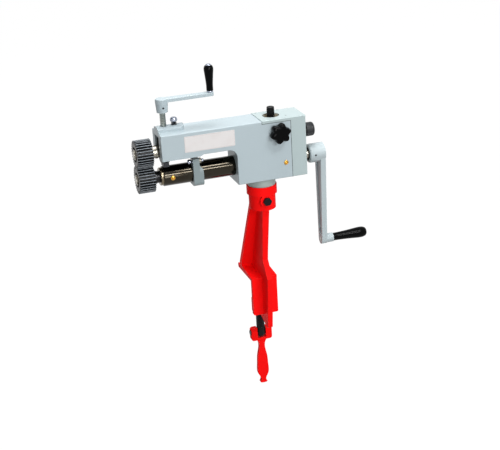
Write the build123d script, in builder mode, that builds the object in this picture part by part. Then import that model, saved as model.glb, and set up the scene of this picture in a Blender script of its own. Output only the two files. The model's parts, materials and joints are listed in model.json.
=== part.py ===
"""Hand cranked bench crimping machine for sheet metal, on a clamped stand.

Two toothed rollers run in mesh at the end of two geared shafts.  The lower shaft turns in a
fixed tube and is cranked from behind.  The upper shaft is carried by a front bearing block and
a self-aligning ball at the rear, so that the screw on top of the arm can press it down.  The
head swivels in the socket of a cast post, which clamps on the edge of a bench.

Millimetres.  +Z is up, the shafts lie along X with the rollers at -X, and the operator stands
at -Y.  The origin is where the axis of the clamp screw meets the flat underside of the jaw.
"""
import os
from math import acos, cos, hypot, pi, radians, sin, sqrt, tan

from build123d import *

os.makedirs("parts", exist_ok=True)

# ---- Placing of the head over the bench ----------------------------------------------------
REACH = 57.0                  # the machine's mid-plane stands this far ahead of the clamp screw
HEAD_FLOOR_Z = 228.0          # underside of the gearbox above the bench face of the jaw
MID_Y = -REACH

# ---- Clearances ------------------------------------------------------------------------------
RUNNING_FIT = 0.05            # radial play of a shaft in its bush
LOOSE_FIT = 0.3               # radial play of hand-turned parts and of bolts in their holes
FACE_GAP = 0.3                # axial play between faces that turn past each other

# ---- Gearbox and arm -------------------------------------------------------------------------
BODY_WIDTH = 65.0
BOX_LENGTH = 141.0
REAR_REACH = 85.5             # swivel axis to the rear face
BODY_HEIGHT = 118.7
COVER_PROUD = 1.3             # how far the cover's top stands above the casting
SIDE_WALL = 4.0
BOX_FLOOR = 3.0
FRONT_WALL = 8.0
ROOF = 5.0
CAP_LENGTH = 30.8             # the part of the cover that closes the rear of the box
TOP_PLATE_LENGTH = 58.0       # the part of the cover that closes the top
LIP_DEPTH = 5.0               # how deep the top plate is let into the sides
SEAM_GAP = 0.15
ARM_LENGTH = 146.5
ARM_HEIGHT = 46.7
ARM_WALL = 8.0
ARM_END_WALL = 4.0
NOSE_LENGTH = 74.0            # front stretch of the arm that is cast a little deeper
NOSE_DROP = 3.0
THROAT_RADIUS = 16.5
CASTING_EDGE = 1.6            # rounding of the outer edges of the casting

# ---- Shafts, gears and rollers -----------------------------------------------------------------
SHAFT_SPACING = 50.0
LOWER_SHAFT_RISE = 31.0       # lower shaft above the underside of the gearbox
SHAFT_RADIUS = 8.0            # where the shafts run in bushes
GEAR_SEAT_RADIUS = 11.0
GEAR_TEETH = 25
GEAR_WIDTH = 20.0
GEAR_BACKLASH = 0.5
PRESSURE_ANGLE = 20.0
ROLLER_TEETH = 30
ROLLER_LENGTH = 31.0
ROLLER_TIP_RISE = 2.0         # tooth crest above the pitch circle
ROLLER_ROOT_DROP = 2.7        # tooth root below the pitch circle
ROLLER_CREST = 1.1            # width of a crest
ROLLER_ROOT = 3.3             # width of a tooth at its root
ROLLER_OVERHANG = 44.5        # outer roller face ahead of the arm's end
ROLLER_RECESS_RADIUS = 14.5
ROLLER_RECESS_DEPTH = 5.0
NUT_FLATS = 19.0
NUT_HEIGHT = 6.0
KEY_WIDTH = 5.0
NECK_RADIUS = 13.0            # spacer collars behind the rollers
BUSH_WALL = 2.5

# ---- Lower tube ----------------------------------------------------------------------------
TUBE_RADIUS = 19.5
TUBE_PROJECTION = 142.0       # front end of the tube ahead of the throat face
TUBE_SHANK = 14.0             # length of the tube that sits in the gearbox wall
THRUST_RING_RADIUS = 17.5
THRUST_RING_LENGTH = 5.5
WEB_X = 36.0                  # inner bearing web of the gearbox, front face
WEB_THICKNESS = 12.0
WEB_HALF_WIDTH = 21.0
BUSH_LENGTH = 24.0

# ---- Front bearing block and rear ball -------------------------------------------------------
BLOCK_LENGTH = 70.0
BLOCK_HALF_WIDTH = 18.0
BLOCK_RISE = 24.0             # top of the block above the upper shaft
BLOCK_DROP = 11.0             # flat underside below the upper shaft
LUG_SETBACK = 2.2             # lug under the block, behind the flange face
LUG_LENGTH = 11.0
LUG_HALF_WIDTH = 9.0
FLANGE_RADIUS = 23.5
FLANGE_LENGTH = 13.0
BLOCK_SETBACK = 0.8           # flange behind the end wall of the arm
WINDOW_WIDTH = 31.0
WINDOW_ROOF = 1.7             # end wall left between the window and the roof of the arm
PIVOT_X = 79.0                # centre of the self-aligning ball
BALL_RADIUS = 10.0
BALL_HALF_LENGTH = 5.5
JOURNAL_RADIUS = 6.0
REAR_JOURNAL_RADIUS = 10.0    # lower shaft where it leaves the box
CAP_WALL = 6.0
SEAT_RADIUS = 15.0
ROLLER_LIFT = 8.0             # travel of the adjusting screw

# ---- Adjusting screw with its crank ------------------------------------------------------------
SCREW_SETBACK = 15.0          # screw axis behind the arm's end
SCREW_RADIUS = 6.0
BOSS_LENGTH = 52.5
BOSS_HALF_WIDTH = 15.5
BOSS_SHOULDER = 6.8           # straight side of the boss above the arm
BOSS_CROWN = 11.0             # crown of the boss above the arm
BOSS_SKIRT = 2.8
SKIRT_ROOT = 0.8              # how deep the skirt is rooted in the arm
SKIRT_SETBACK = 1.0
SCREW_NUT_RADIUS = 9.0
SCREW_NUT_HEIGHT = 9.0
PAD_RADIUS = 8.5
PAD_HEIGHT = 4.5
PAD_CROWN = 0.7               # rise of its domed underside at the rim
PAD_ROOM = 1.2                # play round it in the bearing block
TOP_HUB_RISE = 37.3           # underside of the crank hub above the arm
TOP_HUB_HEIGHT = 26.0
TOP_HUB_RADIUS = 12.0
TOP_HUB_FOOT_RADIUS = 10.5
TOP_ARM_THICKNESS = 7.0
TOP_CRANK_RADIUS = 95.0
TOP_GRIP_GAP = 3.0
DOME_RADIUS = 5.5
DOME_HEIGHT = 3.0
TOP_ARM_ROOT_WIDTH = 18.0
TOP_ARM_END_RADIUS = 6.8
TOP_GRIP_LENGTH = 48.0
TOP_GRIP_FOOT_RADIUS = 6.5
TOP_GRIP_RADIUS = 9.15
BOLT_SETBACK = 35.5           # lift bolt behind the arm's end
BOLT_RADIUS = 3.0
BOLT_GRIP = 14.0              # thread of the lift bolt in the bearing block
BOLT_HEAD_RADIUS = 7.0
BOLT_HEAD_HEIGHT = 8.0
SPRING_SEAT_DEPTH = 8.0
SPRING_RADIUS = 4.75
SPRING_WIRE = 1.2
SPRING_TURNS = 6
SPRING_ROOM = 6.5             # the part of the spring that shows above the boss

# ---- Knobs, oilers and label --------------------------------------------------------------------
STAR_X = 29.5
STAR_RISE = 94.0
STAR_RADIUS = 21.0
STAR_LOBES = 6
STAR_THICKNESS = 16.0
STAR_NECK = 3.5
STAR_STUD_RADIUS = 4.0
INDEX_X = 26.0
INDEX_OPENING_RADIUS = 16.5
INDEX_KNOB_RADIUS = 7.5
INDEX_KNOB_HEIGHT = 17.0
INDEX_HUB_RADIUS = 14.0
INDEX_PIN_RADIUS = 3.0
INDEX_OFFSET = 1.5
INDEX_PLATE_THICKNESS = 3.0
GROOVE_RADIUS = 6.5
REAR_KNOB_RADIUS = 13.7
REAR_KNOB_LENGTH = 16.5
REAR_NECK_RADIUS = 8.0
REAR_NECK_LENGTH = 9.5
REAR_STUD_RADIUS = 5.0
OILER_RADIUS = 4.4
OILER_SHANK_RADIUS = 2.5
OILER_SHANK = 6.0
GEAR_OILER_X = 42.1
TUBE_OILER_SETBACK = 20.8     # tube oiler behind the arm's end
LABEL_LENGTH = 99.0
LABEL_HEIGHT = 31.0
LABEL_INSET = 3.0             # label ahead of the throat face
LABEL_RISE = 8.6              # label above the arm's underside
LABEL_THICKNESS = 0.5
COVER_SCREW_RADIUS = 2.5
COVER_HEAD_RADIUS = 4.25
COVER_HEAD_HEIGHT = 5.0
COVER_SCREW_GRIP = 16.0        # thread of a cover screw in the casting
CORNER_BOSS_RADIUS = 5.0
CORNER_BOSS_LENGTH = 26.0

# ---- Main crank ---------------------------------------------------------------------------
CRANK_GAP = 13.0              # hub behind the rear face of the box
CRANK_HUB_RADIUS = 19.0
CRANK_HUB_LENGTH = 25.0
CRANK_ARM_THICKNESS = 10.8
CRANK_ARM_INSET = 21.7        # inner face of the arm behind the hub's front face
CRANK_RADIUS = 185.5
CRANK_END_RADIUS = 10.0
CRANK_RECESS_DEPTH = 2.5
CRANK_RECESS_RIM = 4.5
GRIP_BOSS_RADIUS = 9.3
GRIP_BOSS_LENGTH = 15.0
GRIP_LENGTH = 74.0
GRIP_INNER_RADIUS = 8.0
GRIP_RADIUS = 11.0
SPINDLE_RADIUS = 4.0
SET_SCREW_RADIUS = 2.0

# ---- Sheet stop on the tube ------------------------------------------------------------------
STOP_X = -141.2               # front face of the stop at rest
STOP_THICKNESS = 19.7
STOP_HALF_WIDTH = 24.0
STOP_DROP = 24.0              # underside below the lower shaft
STOP_SHOULDER = 17.0          # top of the sloping shoulder above the lower shaft
STOP_SLOPE = 8.0              # fall of the shoulder
STOP_POST_WIDTH = 12.6
STOP_SCREW_Y = -15.0          # stop screw ahead of the mid-plane
STOP_SCREW_RADIUS = 3.0
STOP_SCREW_HEAD_RADIUS = 4.6
STOP_SCREW_REACH = 4.5         # head of the stop screw ahead of the post
STOP_POST_RISE = 6.0           # top of the post above the stop screw
STOP_NUT_FLATS = 10.0

# ---- Socket and swivel spigot ---------------------------------------------------------------
SPIGOT_FLANGE_RADIUS = 28.0
SPIGOT_FLANGE_HEIGHT = 15.5
SPIGOT_RADIUS = 19.0
SPIGOT_LENGTH = 42.0
SPIGOT_BOLTS = 4
SPIGOT_BOLT_CIRCLE = 20.0
SPIGOT_BOLT_RADIUS = 4.0
SPIGOT_BOLT_HEAD_RADIUS = 6.5
SPIGOT_BOLT_GRIP = 12.0
SOCKET_COLLAR_RADIUS = 30.0
SOCKET_COLLAR_HEIGHT = 17.5
SOCKET_RADIUS = 26.5
SOCKET_HEIGHT = 31.0
SOCKET_FILLET = 4.0
LOCK_DROP = 27.5              # lock bolt below the top of the socket
LOCK_PAD_RADIUS = 13.0
LOCK_PAD_PROUD = 2.8
LOCK_BOLT_RADIUS = 5.0
LOCK_HEAD_FLATS = 15.0
LOCK_HEAD_HEIGHT = 6.5

# ---- Post, jaw and lower arm of the stand -------------------------------------------------------
PLATE = 9.0
POST_ENTRY = 16.0            # top of the post above the foot of the socket
POST_FOOT_Z = 11.0
POST_FOOT_Y = 18.0            # front face of the leaning plate where it meets the jaw
POST_TOP_Y = -47.3            # and where it meets the socket
POST_TOP_HALF = 18.6
POST_FOOT_HALF = 29.0
JAW_HALF = 27.0
JAW_FRONT_HALF = 24.5
JAW_BACK_Y = 40.5
JAW_THICKNESS = 9.0
JAW_BEAD_RADIUS = 5.5
SPINE_Y = -44.0
SPINE_HALF = 26.5
SPINE_FOOT_Z = -75.5
SPINE_CREASE_Z = 6.5
RIB_TOP = 12.6
RIB_FOOT = 10.0
RIB_TOP_Y = -77.0
RIB_WAIST_Y = -56.8
RIB_WAIST_Z = 50.0
RIB_CHEEK_Y = -81.5
RIB_CHEEK_Z = 16.0
RIB_FOOT_Y = -66.5
RIB_FOOT_Z = -101.0
CLAMP_OPENING = 58.0          # bench face of the jaw to the top of the lower boss
BOSS_RADIUS = 16.0
BOSS_HEIGHT = 27.0
CLAMP_SCREW_RADIUS = 8.8
CLAMP_SCREW_LENGTH = 120.0
CLAMP_PAD_RADIUS = 15.0
CLAMP_PAD_HEIGHT = 8.0
CLAMP_PAD_Z = -20.0           # working face of the pressure pad at rest

# ---- Folding clamp handle ----------------------------------------------------------------------
FORK_WIDTH = 45.0
FORK_SLOT = 18.4
FORK_THICKNESS = 13.0
FORK_RISE = 10.5              # prongs above the handle's pin
FORK_DROP = 18.0              # fork below the pin, down to its shoulders
PIN_RADIUS = 3.5
PIN_END_MARGIN = 9.0          # pin above the lower end of the clamp screw
HANDLE_LENGTH = 121.0         # pin to the tip of the paddle
HANDLE_NECK_HALF = 6.1
HANDLE_NECK_DROP = 35.0
HANDLE_SHANK_HALF = 9.7
HANDLE_SHANK_DROP = 55.0
HANDLE_PADDLE_HALF = 11.4
HANDLE_PADDLE_DROP = 78.0

# ---- Derived datums -----------------------------------------------------------------------------
LOWER_Z = HEAD_FLOOR_Z + LOWER_SHAFT_RISE
UPPER_Z = LOWER_Z + SHAFT_SPACING
REAR_X = REAR_REACH
THROAT_X = REAR_X - BOX_LENGTH
SPLIT_X = REAR_X - CAP_LENGTH
SEAM_X = SPLIT_X - TOP_PLATE_LENGTH
ARM_END_X = THROAT_X - ARM_LENGTH
CASTING_TOP_Z = HEAD_FLOOR_Z + BODY_HEIGHT
COVER_TOP_Z = CASTING_TOP_Z + COVER_PROUD
LIP_Z = CASTING_TOP_Z - LIP_DEPTH
ARM_FLOOR_Z = CASTING_TOP_Z - ARM_HEIGHT
CEILING_Z = CASTING_TOP_Z - ROOF
HALF_WIDTH = BODY_WIDTH / 2
INNER_HALF = HALF_WIDTH - SIDE_WALL
INNER_FLOOR_Z = HEAD_FLOOR_Z + BOX_FLOOR
INNER_FRONT_X = THROAT_X + FRONT_WALL
SCREW_X = ARM_END_X + SCREW_SETBACK
BOLT_X = ARM_END_X + BOLT_SETBACK
ROLLER_FRONT_X = ARM_END_X - ROLLER_OVERHANG
ROLLER_BACK_X = ROLLER_FRONT_X + ROLLER_LENGTH
TUBE_FRONT_X = THROAT_X - TUBE_PROJECTION
TUBE_BACK_X = THROAT_X + TUBE_SHANK
GEAR_MODULE = SHAFT_SPACING / GEAR_TEETH
SEAT_HALF_LENGTH = BALL_HALF_LENGTH + 0.5
GEAR_BACK_X = PIVOT_X - SEAT_HALF_LENGTH - 1.0
GEAR_FRONT_X = GEAR_BACK_X - GEAR_WIDTH
FLANGE_X = ARM_END_X + ARM_END_WALL + BLOCK_SETBACK
BLOCK_TOP_Z = UPPER_Z + BLOCK_RISE
HUB_FRONT_X = REAR_X + CRANK_GAP
CRANK_ARM_X = HUB_FRONT_X + CRANK_ARM_INSET
CRANK_BACK_X = CRANK_ARM_X + CRANK_ARM_THICKNESS
SOCKET_TOP_Z = HEAD_FLOOR_Z - SPIGOT_FLANGE_HEIGHT
SOCKET_FOOT_Z = SOCKET_TOP_Z - SOCKET_COLLAR_HEIGHT - SOCKET_HEIGHT
POST_TOP_Z = SOCKET_FOOT_Z + POST_ENTRY
BUSH_RADIUS = SHAFT_RADIUS + RUNNING_FIT + BUSH_WALL
CLAMP_SCREW_TOP_Z = CLAMP_PAD_Z - CLAMP_PAD_HEIGHT / 2
CLAMP_SCREW_FOOT_Z = CLAMP_SCREW_TOP_Z - CLAMP_SCREW_LENGTH
PIN_Z = CLAMP_SCREW_FOOT_Z + PIN_END_MARGIN
BOSS_TOP_Z = CASTING_TOP_Z + BOSS_CROWN


# ---- Planes, axes and small shapes ---------------------------------------------------------------
def shaft_plane(x, z):
    """Plane square to the shafts: local x runs along +Y, local y runs up."""
    return Plane(origin=(x, MID_Y, z), x_dir=(0, 1, 0), z_dir=(1, 0, 0))


def side_plane(y=MID_Y, x=0.0, z=0.0):
    """Plane seen from the front: local x runs along +X, local y runs up."""
    return Plane(origin=(x, y, z), x_dir=(1, 0, 0), z_dir=(0, -1, 0))


def profile_plane(x=0.0, y=0.0, z=0.0):
    """Plane across the stand: local x runs along +Y from the clamp screw, local y runs up."""
    return Plane(origin=(x, y, z), x_dir=(0, 1, 0), z_dir=(1, 0, 0))


def level(z, x=0.0, y=MID_Y):
    """Level plane at a height, centred on a vertical axis."""
    return Plane(origin=(x, y, z))


def shaft_axis(z):
    """Axis along +X in the mid-plane at a height."""
    return Axis((0, MID_Y, z), (1, 0, 0))


def disc(plane, radius, bore=0.0):
    """Sketch of a disc, with a bore if one is given."""
    with BuildSketch(plane) as outline:
        Circle(radius)
        if bore > 0:
            Circle(bore, mode=Mode.SUBTRACT)
    return outline.sketch


def slab(plane, width, height, corner=0.0):
    """Sketch of a rectangle, with rounded corners if a radius is given."""
    with BuildSketch(plane) as outline:
        if corner > 0:
            RectangleRounded(width, height, corner)
        else:
            Rectangle(width, height)
    return outline.sketch


def face_of(plane, points):
    """Sketch inside a closed outline of straight edges."""
    with BuildSketch(plane) as outline:
        with BuildLine():
            Polyline(*points, close=True)
        make_face()
    return outline.sketch


def hexagon(plane, flats, bore=0.0):
    """Sketch of a nut or bolt head, given across its flats."""
    with BuildSketch(plane) as outline:
        RegularPolygon(flats / 2, 6, major_radius=False)
        if bore > 0:
            Circle(bore, mode=Mode.SUBTRACT)
    return outline.sketch


def block(x_span, y_span, z_span, mode=Mode.ADD):
    """Add or cut a block between two coordinates on each axis."""
    spans = (x_span, y_span, z_span)
    with Locations(Vector(*[(low + high) / 2 for low, high in spans])):
        Box(*[high - low for low, high in spans], mode=mode)


def about_mid(half):
    """Span of a half-width on both sides of the mid-plane."""
    return (MID_Y - half, MID_Y + half)


def toothed(plane, teeth, flank, phase):
    """Sketch of a toothed wheel.

    flank holds (radius, half-angle) pairs of one tooth from its root to its crest, and phase is
    the direction of the first tooth's middle.
    """
    points = []
    for tooth in range(teeth):
        middle = phase + tooth * 2 * pi / teeth
        points += [(r * cos(middle - half), r * sin(middle - half)) for r, half in flank]
        points += [(r * cos(middle + half), r * sin(middle + half)) for r, half in flank[::-1]]
    return face_of(plane, points)


def involute_flank(pitch_radius, teeth):
    """Flank of a standard involute tooth, thinned by the backlash."""
    tooth_module = 2 * pitch_radius / teeth
    pressure = radians(PRESSURE_ANGLE)
    base = pitch_radius * cos(pressure)
    half_at_pitch = (pi * tooth_module / 2 - GEAR_BACKLASH) / (2 * pitch_radius)

    def half_at(radius):
        slope = acos(min(1.0, base / radius))
        return half_at_pitch + (tan(pressure) - pressure) - (tan(slope) - slope)

    root = pitch_radius - 1.25 * tooth_module
    tip = pitch_radius + tooth_module
    return [(root, half_at(base))] + [(r, half_at(r)) for r in (base, pitch_radius, tip)]


def roller_flank(pitch_radius):
    """Straight flank of a crimping tooth."""
    root = pitch_radius - ROLLER_ROOT_DROP
    tip = pitch_radius + ROLLER_TIP_RISE
    return [(root, ROLLER_ROOT / (2 * root)), (tip, ROLLER_CREST / (2 * tip))]


def keyway(x_span, axis_z, seat_radius, mode=Mode.SUBTRACT):
    """Block of a key that lies half in the shaft and half in what it drives."""
    block(x_span, about_mid(KEY_WIDTH / 2),
          (axis_z + seat_radius - KEY_WIDTH / 2, axis_z + seat_radius + KEY_WIDTH / 2), mode)


def save(builder, name):
    """Label a finished piece and write it under its own name."""
    builder.part.label = name
    export_step(builder.part, f"parts/{name}.step")


# ---- Stand: the red casting ------------------------------------------------------------------------
# The leaning plate, the jaw and the spine are one flange, drawn from the side and then trimmed to
# its outline from the front.  A web stands on it, in front of the post and under the jaw.
lean = Vector(POST_FOOT_Y - POST_TOP_Y, POST_FOOT_Z - POST_TOP_Z, 0).normalized()
plate_back = Vector(-lean.Y, lean.X, 0) * PLATE
spine_back_y = SPINE_Y + PLATE
with BuildPart() as stand_flange:
    with BuildSketch(profile_plane()):
        with BuildLine():
            Polyline(
                (POST_TOP_Y, POST_TOP_Z),
                (POST_FOOT_Y, POST_FOOT_Z),
                (SPINE_Y, SPINE_CREASE_Z),
                (SPINE_Y, SPINE_FOOT_Z),
                (spine_back_y, SPINE_FOOT_Z),
                (spine_back_y, 0),
                (JAW_BACK_Y, 0),
                (JAW_BACK_Y, JAW_THICKNESS),
                (POST_FOOT_Y + plate_back.X + PLATE / 2, JAW_THICKNESS),
                (POST_TOP_Y + plate_back.X, POST_TOP_Z + plate_back.Y),
                close=True,
            )
        make_face()
    extrude(amount=POST_FOOT_HALF, both=True)
    extrude(
        face_of(
            side_plane(JAW_BACK_Y + JAW_BEAD_RADIUS),
            [
                (-POST_TOP_HALF, POST_TOP_Z + PLATE),
                (-POST_FOOT_HALF, POST_FOOT_Z + PLATE),
                (-JAW_HALF, POST_FOOT_Z - 1),
                (-SPINE_HALF, SPINE_CREASE_Z - PLATE),
                (-SPINE_HALF, SPINE_FOOT_Z),
                (SPINE_HALF, SPINE_FOOT_Z),
                (SPINE_HALF, SPINE_CREASE_Z - PLATE),
                (JAW_HALF, POST_FOOT_Z - 1),
                (POST_FOOT_HALF, POST_FOOT_Z + PLATE),
                (POST_TOP_HALF, POST_TOP_Z + PLATE),
            ],
        ),
        amount=REACH * 3,
        mode=Mode.INTERSECT,
    )
    fillet(stand_flange.edges().filter_by(Axis.Y).group_by(Axis.Z)[0], radius=3.0)

with BuildPart() as stand_web:
    with BuildSketch(profile_plane()):
        with BuildLine():
            Polyline(
                (POST_TOP_Y, POST_TOP_Z),
                (RIB_TOP_Y, POST_TOP_Z),
                (RIB_WAIST_Y, RIB_WAIST_Z),
                (RIB_CHEEK_Y, RIB_CHEEK_Z),
                (RIB_FOOT_Y, RIB_FOOT_Z),
                (-BOSS_RADIUS, -CLAMP_OPENING - BOSS_HEIGHT),
                (0, -CLAMP_OPENING - BOSS_HEIGHT),
                (0, -CLAMP_OPENING),
                (-BOSS_RADIUS, -CLAMP_OPENING),
                (spine_back_y, -CLAMP_OPENING + 4),
                (spine_back_y, 0),
                (POST_FOOT_Y + 4, POST_FOOT_Z - 2),
                close=True,
            )
        make_face()
    extrude(amount=RIB_TOP / 2, both=True)
    extrude(
        face_of(
            side_plane(BOSS_RADIUS),
            [
                (-RIB_TOP / 2, POST_TOP_Z),
                (-RIB_FOOT / 2, RIB_FOOT_Z),
                (RIB_FOOT / 2, RIB_FOOT_Z),
                (RIB_TOP / 2, POST_TOP_Z),
            ],
        ),
        amount=REACH * 3,
        mode=Mode.INTERSECT,
    )
    toe = stand_web.edges().filter_by(Axis.X).sort_by(Axis.Z)[0]
    fillet(toe, radius=6.0)

with BuildPart() as stand_post:
    add(stand_flange.part)
    add(stand_web.part)
    # bead along the rear edge of the jaw
    extrude(disc(profile_plane(y=JAW_BACK_Y, z=JAW_BEAD_RADIUS), JAW_BEAD_RADIUS),
            amount=JAW_HALF, both=True)
    # lower boss, which carries the clamp screw
    extrude(disc(level(-CLAMP_OPENING, y=0), BOSS_RADIUS), amount=-BOSS_HEIGHT)
    # socket with its collar
    with BuildSketch(level(SOCKET_FOOT_Z)):
        Circle(SOCKET_RADIUS)
    extrude(amount=SOCKET_HEIGHT)
    fillet(stand_post.faces().filter_by(Axis.Z).sort_by(Axis.Z)[-1].edges(), radius=0.5)
    with BuildSketch(level(SOCKET_TOP_Z)):
        Circle(SOCKET_COLLAR_RADIUS)
    extrude(amount=-SOCKET_COLLAR_HEIGHT)
    # round pad under the head of the lock bolt
    lock_pad_plane = side_plane(z=SOCKET_TOP_Z - LOCK_DROP)
    extrude(disc(lock_pad_plane, LOCK_PAD_RADIUS), amount=SOCKET_RADIUS + LOCK_PAD_PROUD)
    # bores for the spigot, the lock bolt and the clamp screw
    extrude(disc(level(SOCKET_TOP_Z), SPIGOT_RADIUS + RUNNING_FIT), amount=-SPIGOT_LENGTH - FACE_GAP,
            mode=Mode.SUBTRACT)
    extrude(disc(lock_pad_plane, LOCK_BOLT_RADIUS + RUNNING_FIT),
            amount=SOCKET_COLLAR_RADIUS + LOCK_PAD_PROUD, mode=Mode.SUBTRACT)
    extrude(disc(level(-CLAMP_OPENING + PLATE, y=0), CLAMP_SCREW_RADIUS + RUNNING_FIT),
            amount=-BOSS_HEIGHT - PLATE, mode=Mode.SUBTRACT)
save(stand_post, "stand_post")

# ---- Lock bolt of the socket -----------------------------------------------------------------------
lock_seat = SOCKET_RADIUS + LOCK_PAD_PROUD
lock_axis_z = SOCKET_TOP_Z - LOCK_DROP
with BuildPart() as socket_lock_bolt:
    seat_plane = side_plane(MID_Y - lock_seat, z=lock_axis_z)
    extrude(hexagon(seat_plane, LOCK_HEAD_FLATS), amount=LOCK_HEAD_HEIGHT)
    extrude(disc(seat_plane, LOCK_BOLT_RADIUS), amount=-(lock_seat - SPIGOT_RADIUS - FACE_GAP))
save(socket_lock_bolt, "socket_lock_bolt")

# ---- Clamp screw, pressure pad, handle and its pin -----------------------------------------------------
screw_slot_half = FORK_SLOT / 2
with BuildPart() as clamp_screw:
    extrude(disc(level(CLAMP_SCREW_TOP_Z, y=0), CLAMP_SCREW_RADIUS), amount=-CLAMP_SCREW_LENGTH)
    chamfer(clamp_screw.faces().sort_by(Axis.Z)[0].edges(), length=1.2)
    # neck that the pressure pad is held by
    extrude(disc(level(CLAMP_SCREW_TOP_Z, y=0), CLAMP_SCREW_RADIUS + 1, CLAMP_SCREW_RADIUS - 2.5),
            amount=-CLAMP_PAD_HEIGHT / 2 - FACE_GAP, mode=Mode.SUBTRACT)
    extrude(disc(profile_plane(z=PIN_Z), PIN_RADIUS + RUNNING_FIT),
            amount=FORK_WIDTH, both=True, mode=Mode.SUBTRACT)
save(clamp_screw, "clamp_screw")

with BuildPart() as pressure_pad:
    extrude(disc(level(CLAMP_PAD_Z, y=0), CLAMP_PAD_RADIUS), amount=-CLAMP_PAD_HEIGHT)
    chamfer(pressure_pad.faces().sort_by(Axis.Z)[-1].edges(), length=1.5)
    extrude(disc(level(CLAMP_PAD_Z - CLAMP_PAD_HEIGHT, y=0), CLAMP_SCREW_RADIUS - 2.5 + FACE_GAP),
            amount=CLAMP_PAD_HEIGHT / 2 + FACE_GAP, mode=Mode.SUBTRACT)
save(pressure_pad, "pressure_pad")

with BuildPart() as clamp_handle:
    # fork, drawn from the front
    with BuildSketch(side_plane(0)):
        with Locations((0, PIN_Z + (FORK_RISE - FORK_DROP) / 2)):
            RectangleRounded(FORK_WIDTH, FORK_RISE + FORK_DROP, 5)
    extrude(amount=FORK_THICKNESS / 2, both=True)
    # paddle
    with BuildSketch(side_plane(0)):
        with BuildLine():
            tip_drop = HANDLE_LENGTH - HANDLE_PADDLE_DROP
            right = Spline(
                (FORK_WIDTH / 2 - 6, PIN_Z - FORK_DROP + 3),
                (HANDLE_NECK_HALF, PIN_Z - HANDLE_NECK_DROP),
                (HANDLE_SHANK_HALF, PIN_Z - HANDLE_SHANK_DROP),
                (HANDLE_PADDLE_HALF, PIN_Z - HANDLE_PADDLE_DROP),
                (HANDLE_PADDLE_HALF * 0.83, PIN_Z - HANDLE_PADDLE_DROP - tip_drop * 0.56),
                (HANDLE_PADDLE_HALF * 0.51, PIN_Z - HANDLE_PADDLE_DROP - tip_drop * 0.86),
                (0, PIN_Z - HANDLE_LENGTH),
                tangents=((-1, -0.35), (-1, 0)),
            )
            mirror(right, about=Plane.YZ)
            Line(right @ 0, (-(right @ 0).X, (right @ 0).Y))
        make_face()
    extrude(amount=FORK_THICKNESS / 2 - 2, both=True)
    # slot between the prongs, deep enough for the corner of the screw when the handle folds
    slot_foot_z = PIN_Z - hypot(CLAMP_SCREW_RADIUS, PIN_END_MARGIN) - LOOSE_FIT
    block((-screw_slot_half, screw_slot_half), (-FORK_THICKNESS, FORK_THICKNESS),
          (slot_foot_z, PIN_Z + FORK_RISE + 1), Mode.SUBTRACT)
    extrude(disc(profile_plane(z=PIN_Z), PIN_RADIUS), amount=FORK_WIDTH,
            both=True, mode=Mode.SUBTRACT)
save(clamp_handle, "clamp_handle")

with BuildPart() as handle_pin:
    pin_plane = profile_plane(-FORK_WIDTH / 2, z=PIN_Z)
    extrude(disc(pin_plane, PIN_RADIUS), amount=FORK_WIDTH)
    extrude(disc(pin_plane, PIN_RADIUS + 2.3), amount=-1.5)
save(handle_pin, "handle_pin")

# ---- Frame: gearbox and arm in one casting -----------------------------------------------------------
# Boss on the arm: a crowned pad with a round nose, on a low skirt.
boss_back_x = ARM_END_X + BOSS_LENGTH
with BuildPart() as arm_boss:
    with BuildSketch(level(CASTING_TOP_Z - ROOF)) as pad_plan:
        with Locations((ARM_END_X + BOSS_LENGTH / 2, 0)):
            Rectangle(BOSS_LENGTH, 2 * BOSS_HALF_WIDTH)
        fillet(pad_plan.vertices().group_by(Axis.X)[-1], radius=BOSS_HALF_WIDTH * 0.72)
    extrude(amount=ROOF + BOSS_CROWN)
    with BuildSketch(shaft_plane(ARM_END_X, CASTING_TOP_Z)):
        with BuildLine():
            crown = ThreePointArc(
                (-BOSS_HALF_WIDTH, BOSS_SHOULDER), (0, BOSS_CROWN), (BOSS_HALF_WIDTH, BOSS_SHOULDER)
            )
            Polyline(crown @ 1, (BOSS_HALF_WIDTH, -ROOF), (-BOSS_HALF_WIDTH, -ROOF), crown @ 0)
        make_face()
    extrude(amount=BOSS_LENGTH, mode=Mode.INTERSECT)
    # skirt that runs down to the edges of the arm and out towards the gearbox
    skirt_half = HALF_WIDTH - CASTING_EDGE
    for start_x, rise in ((ARM_END_X + SKIRT_SETBACK, BOSS_SKIRT), (boss_back_x, BOSS_SKIRT / 10)):
        with BuildSketch(shaft_plane(start_x, CASTING_TOP_Z)):
            with BuildLine():
                Polyline(
                    (-skirt_half, -SKIRT_ROOT),
                    (-skirt_half, 0),
                    (-BOSS_HALF_WIDTH, rise),
                    (BOSS_HALF_WIDTH, rise),
                    (skirt_half, 0),
                    (skirt_half, -SKIRT_ROOT),
                    close=True,
                )
            make_face()
    loft()

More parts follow.
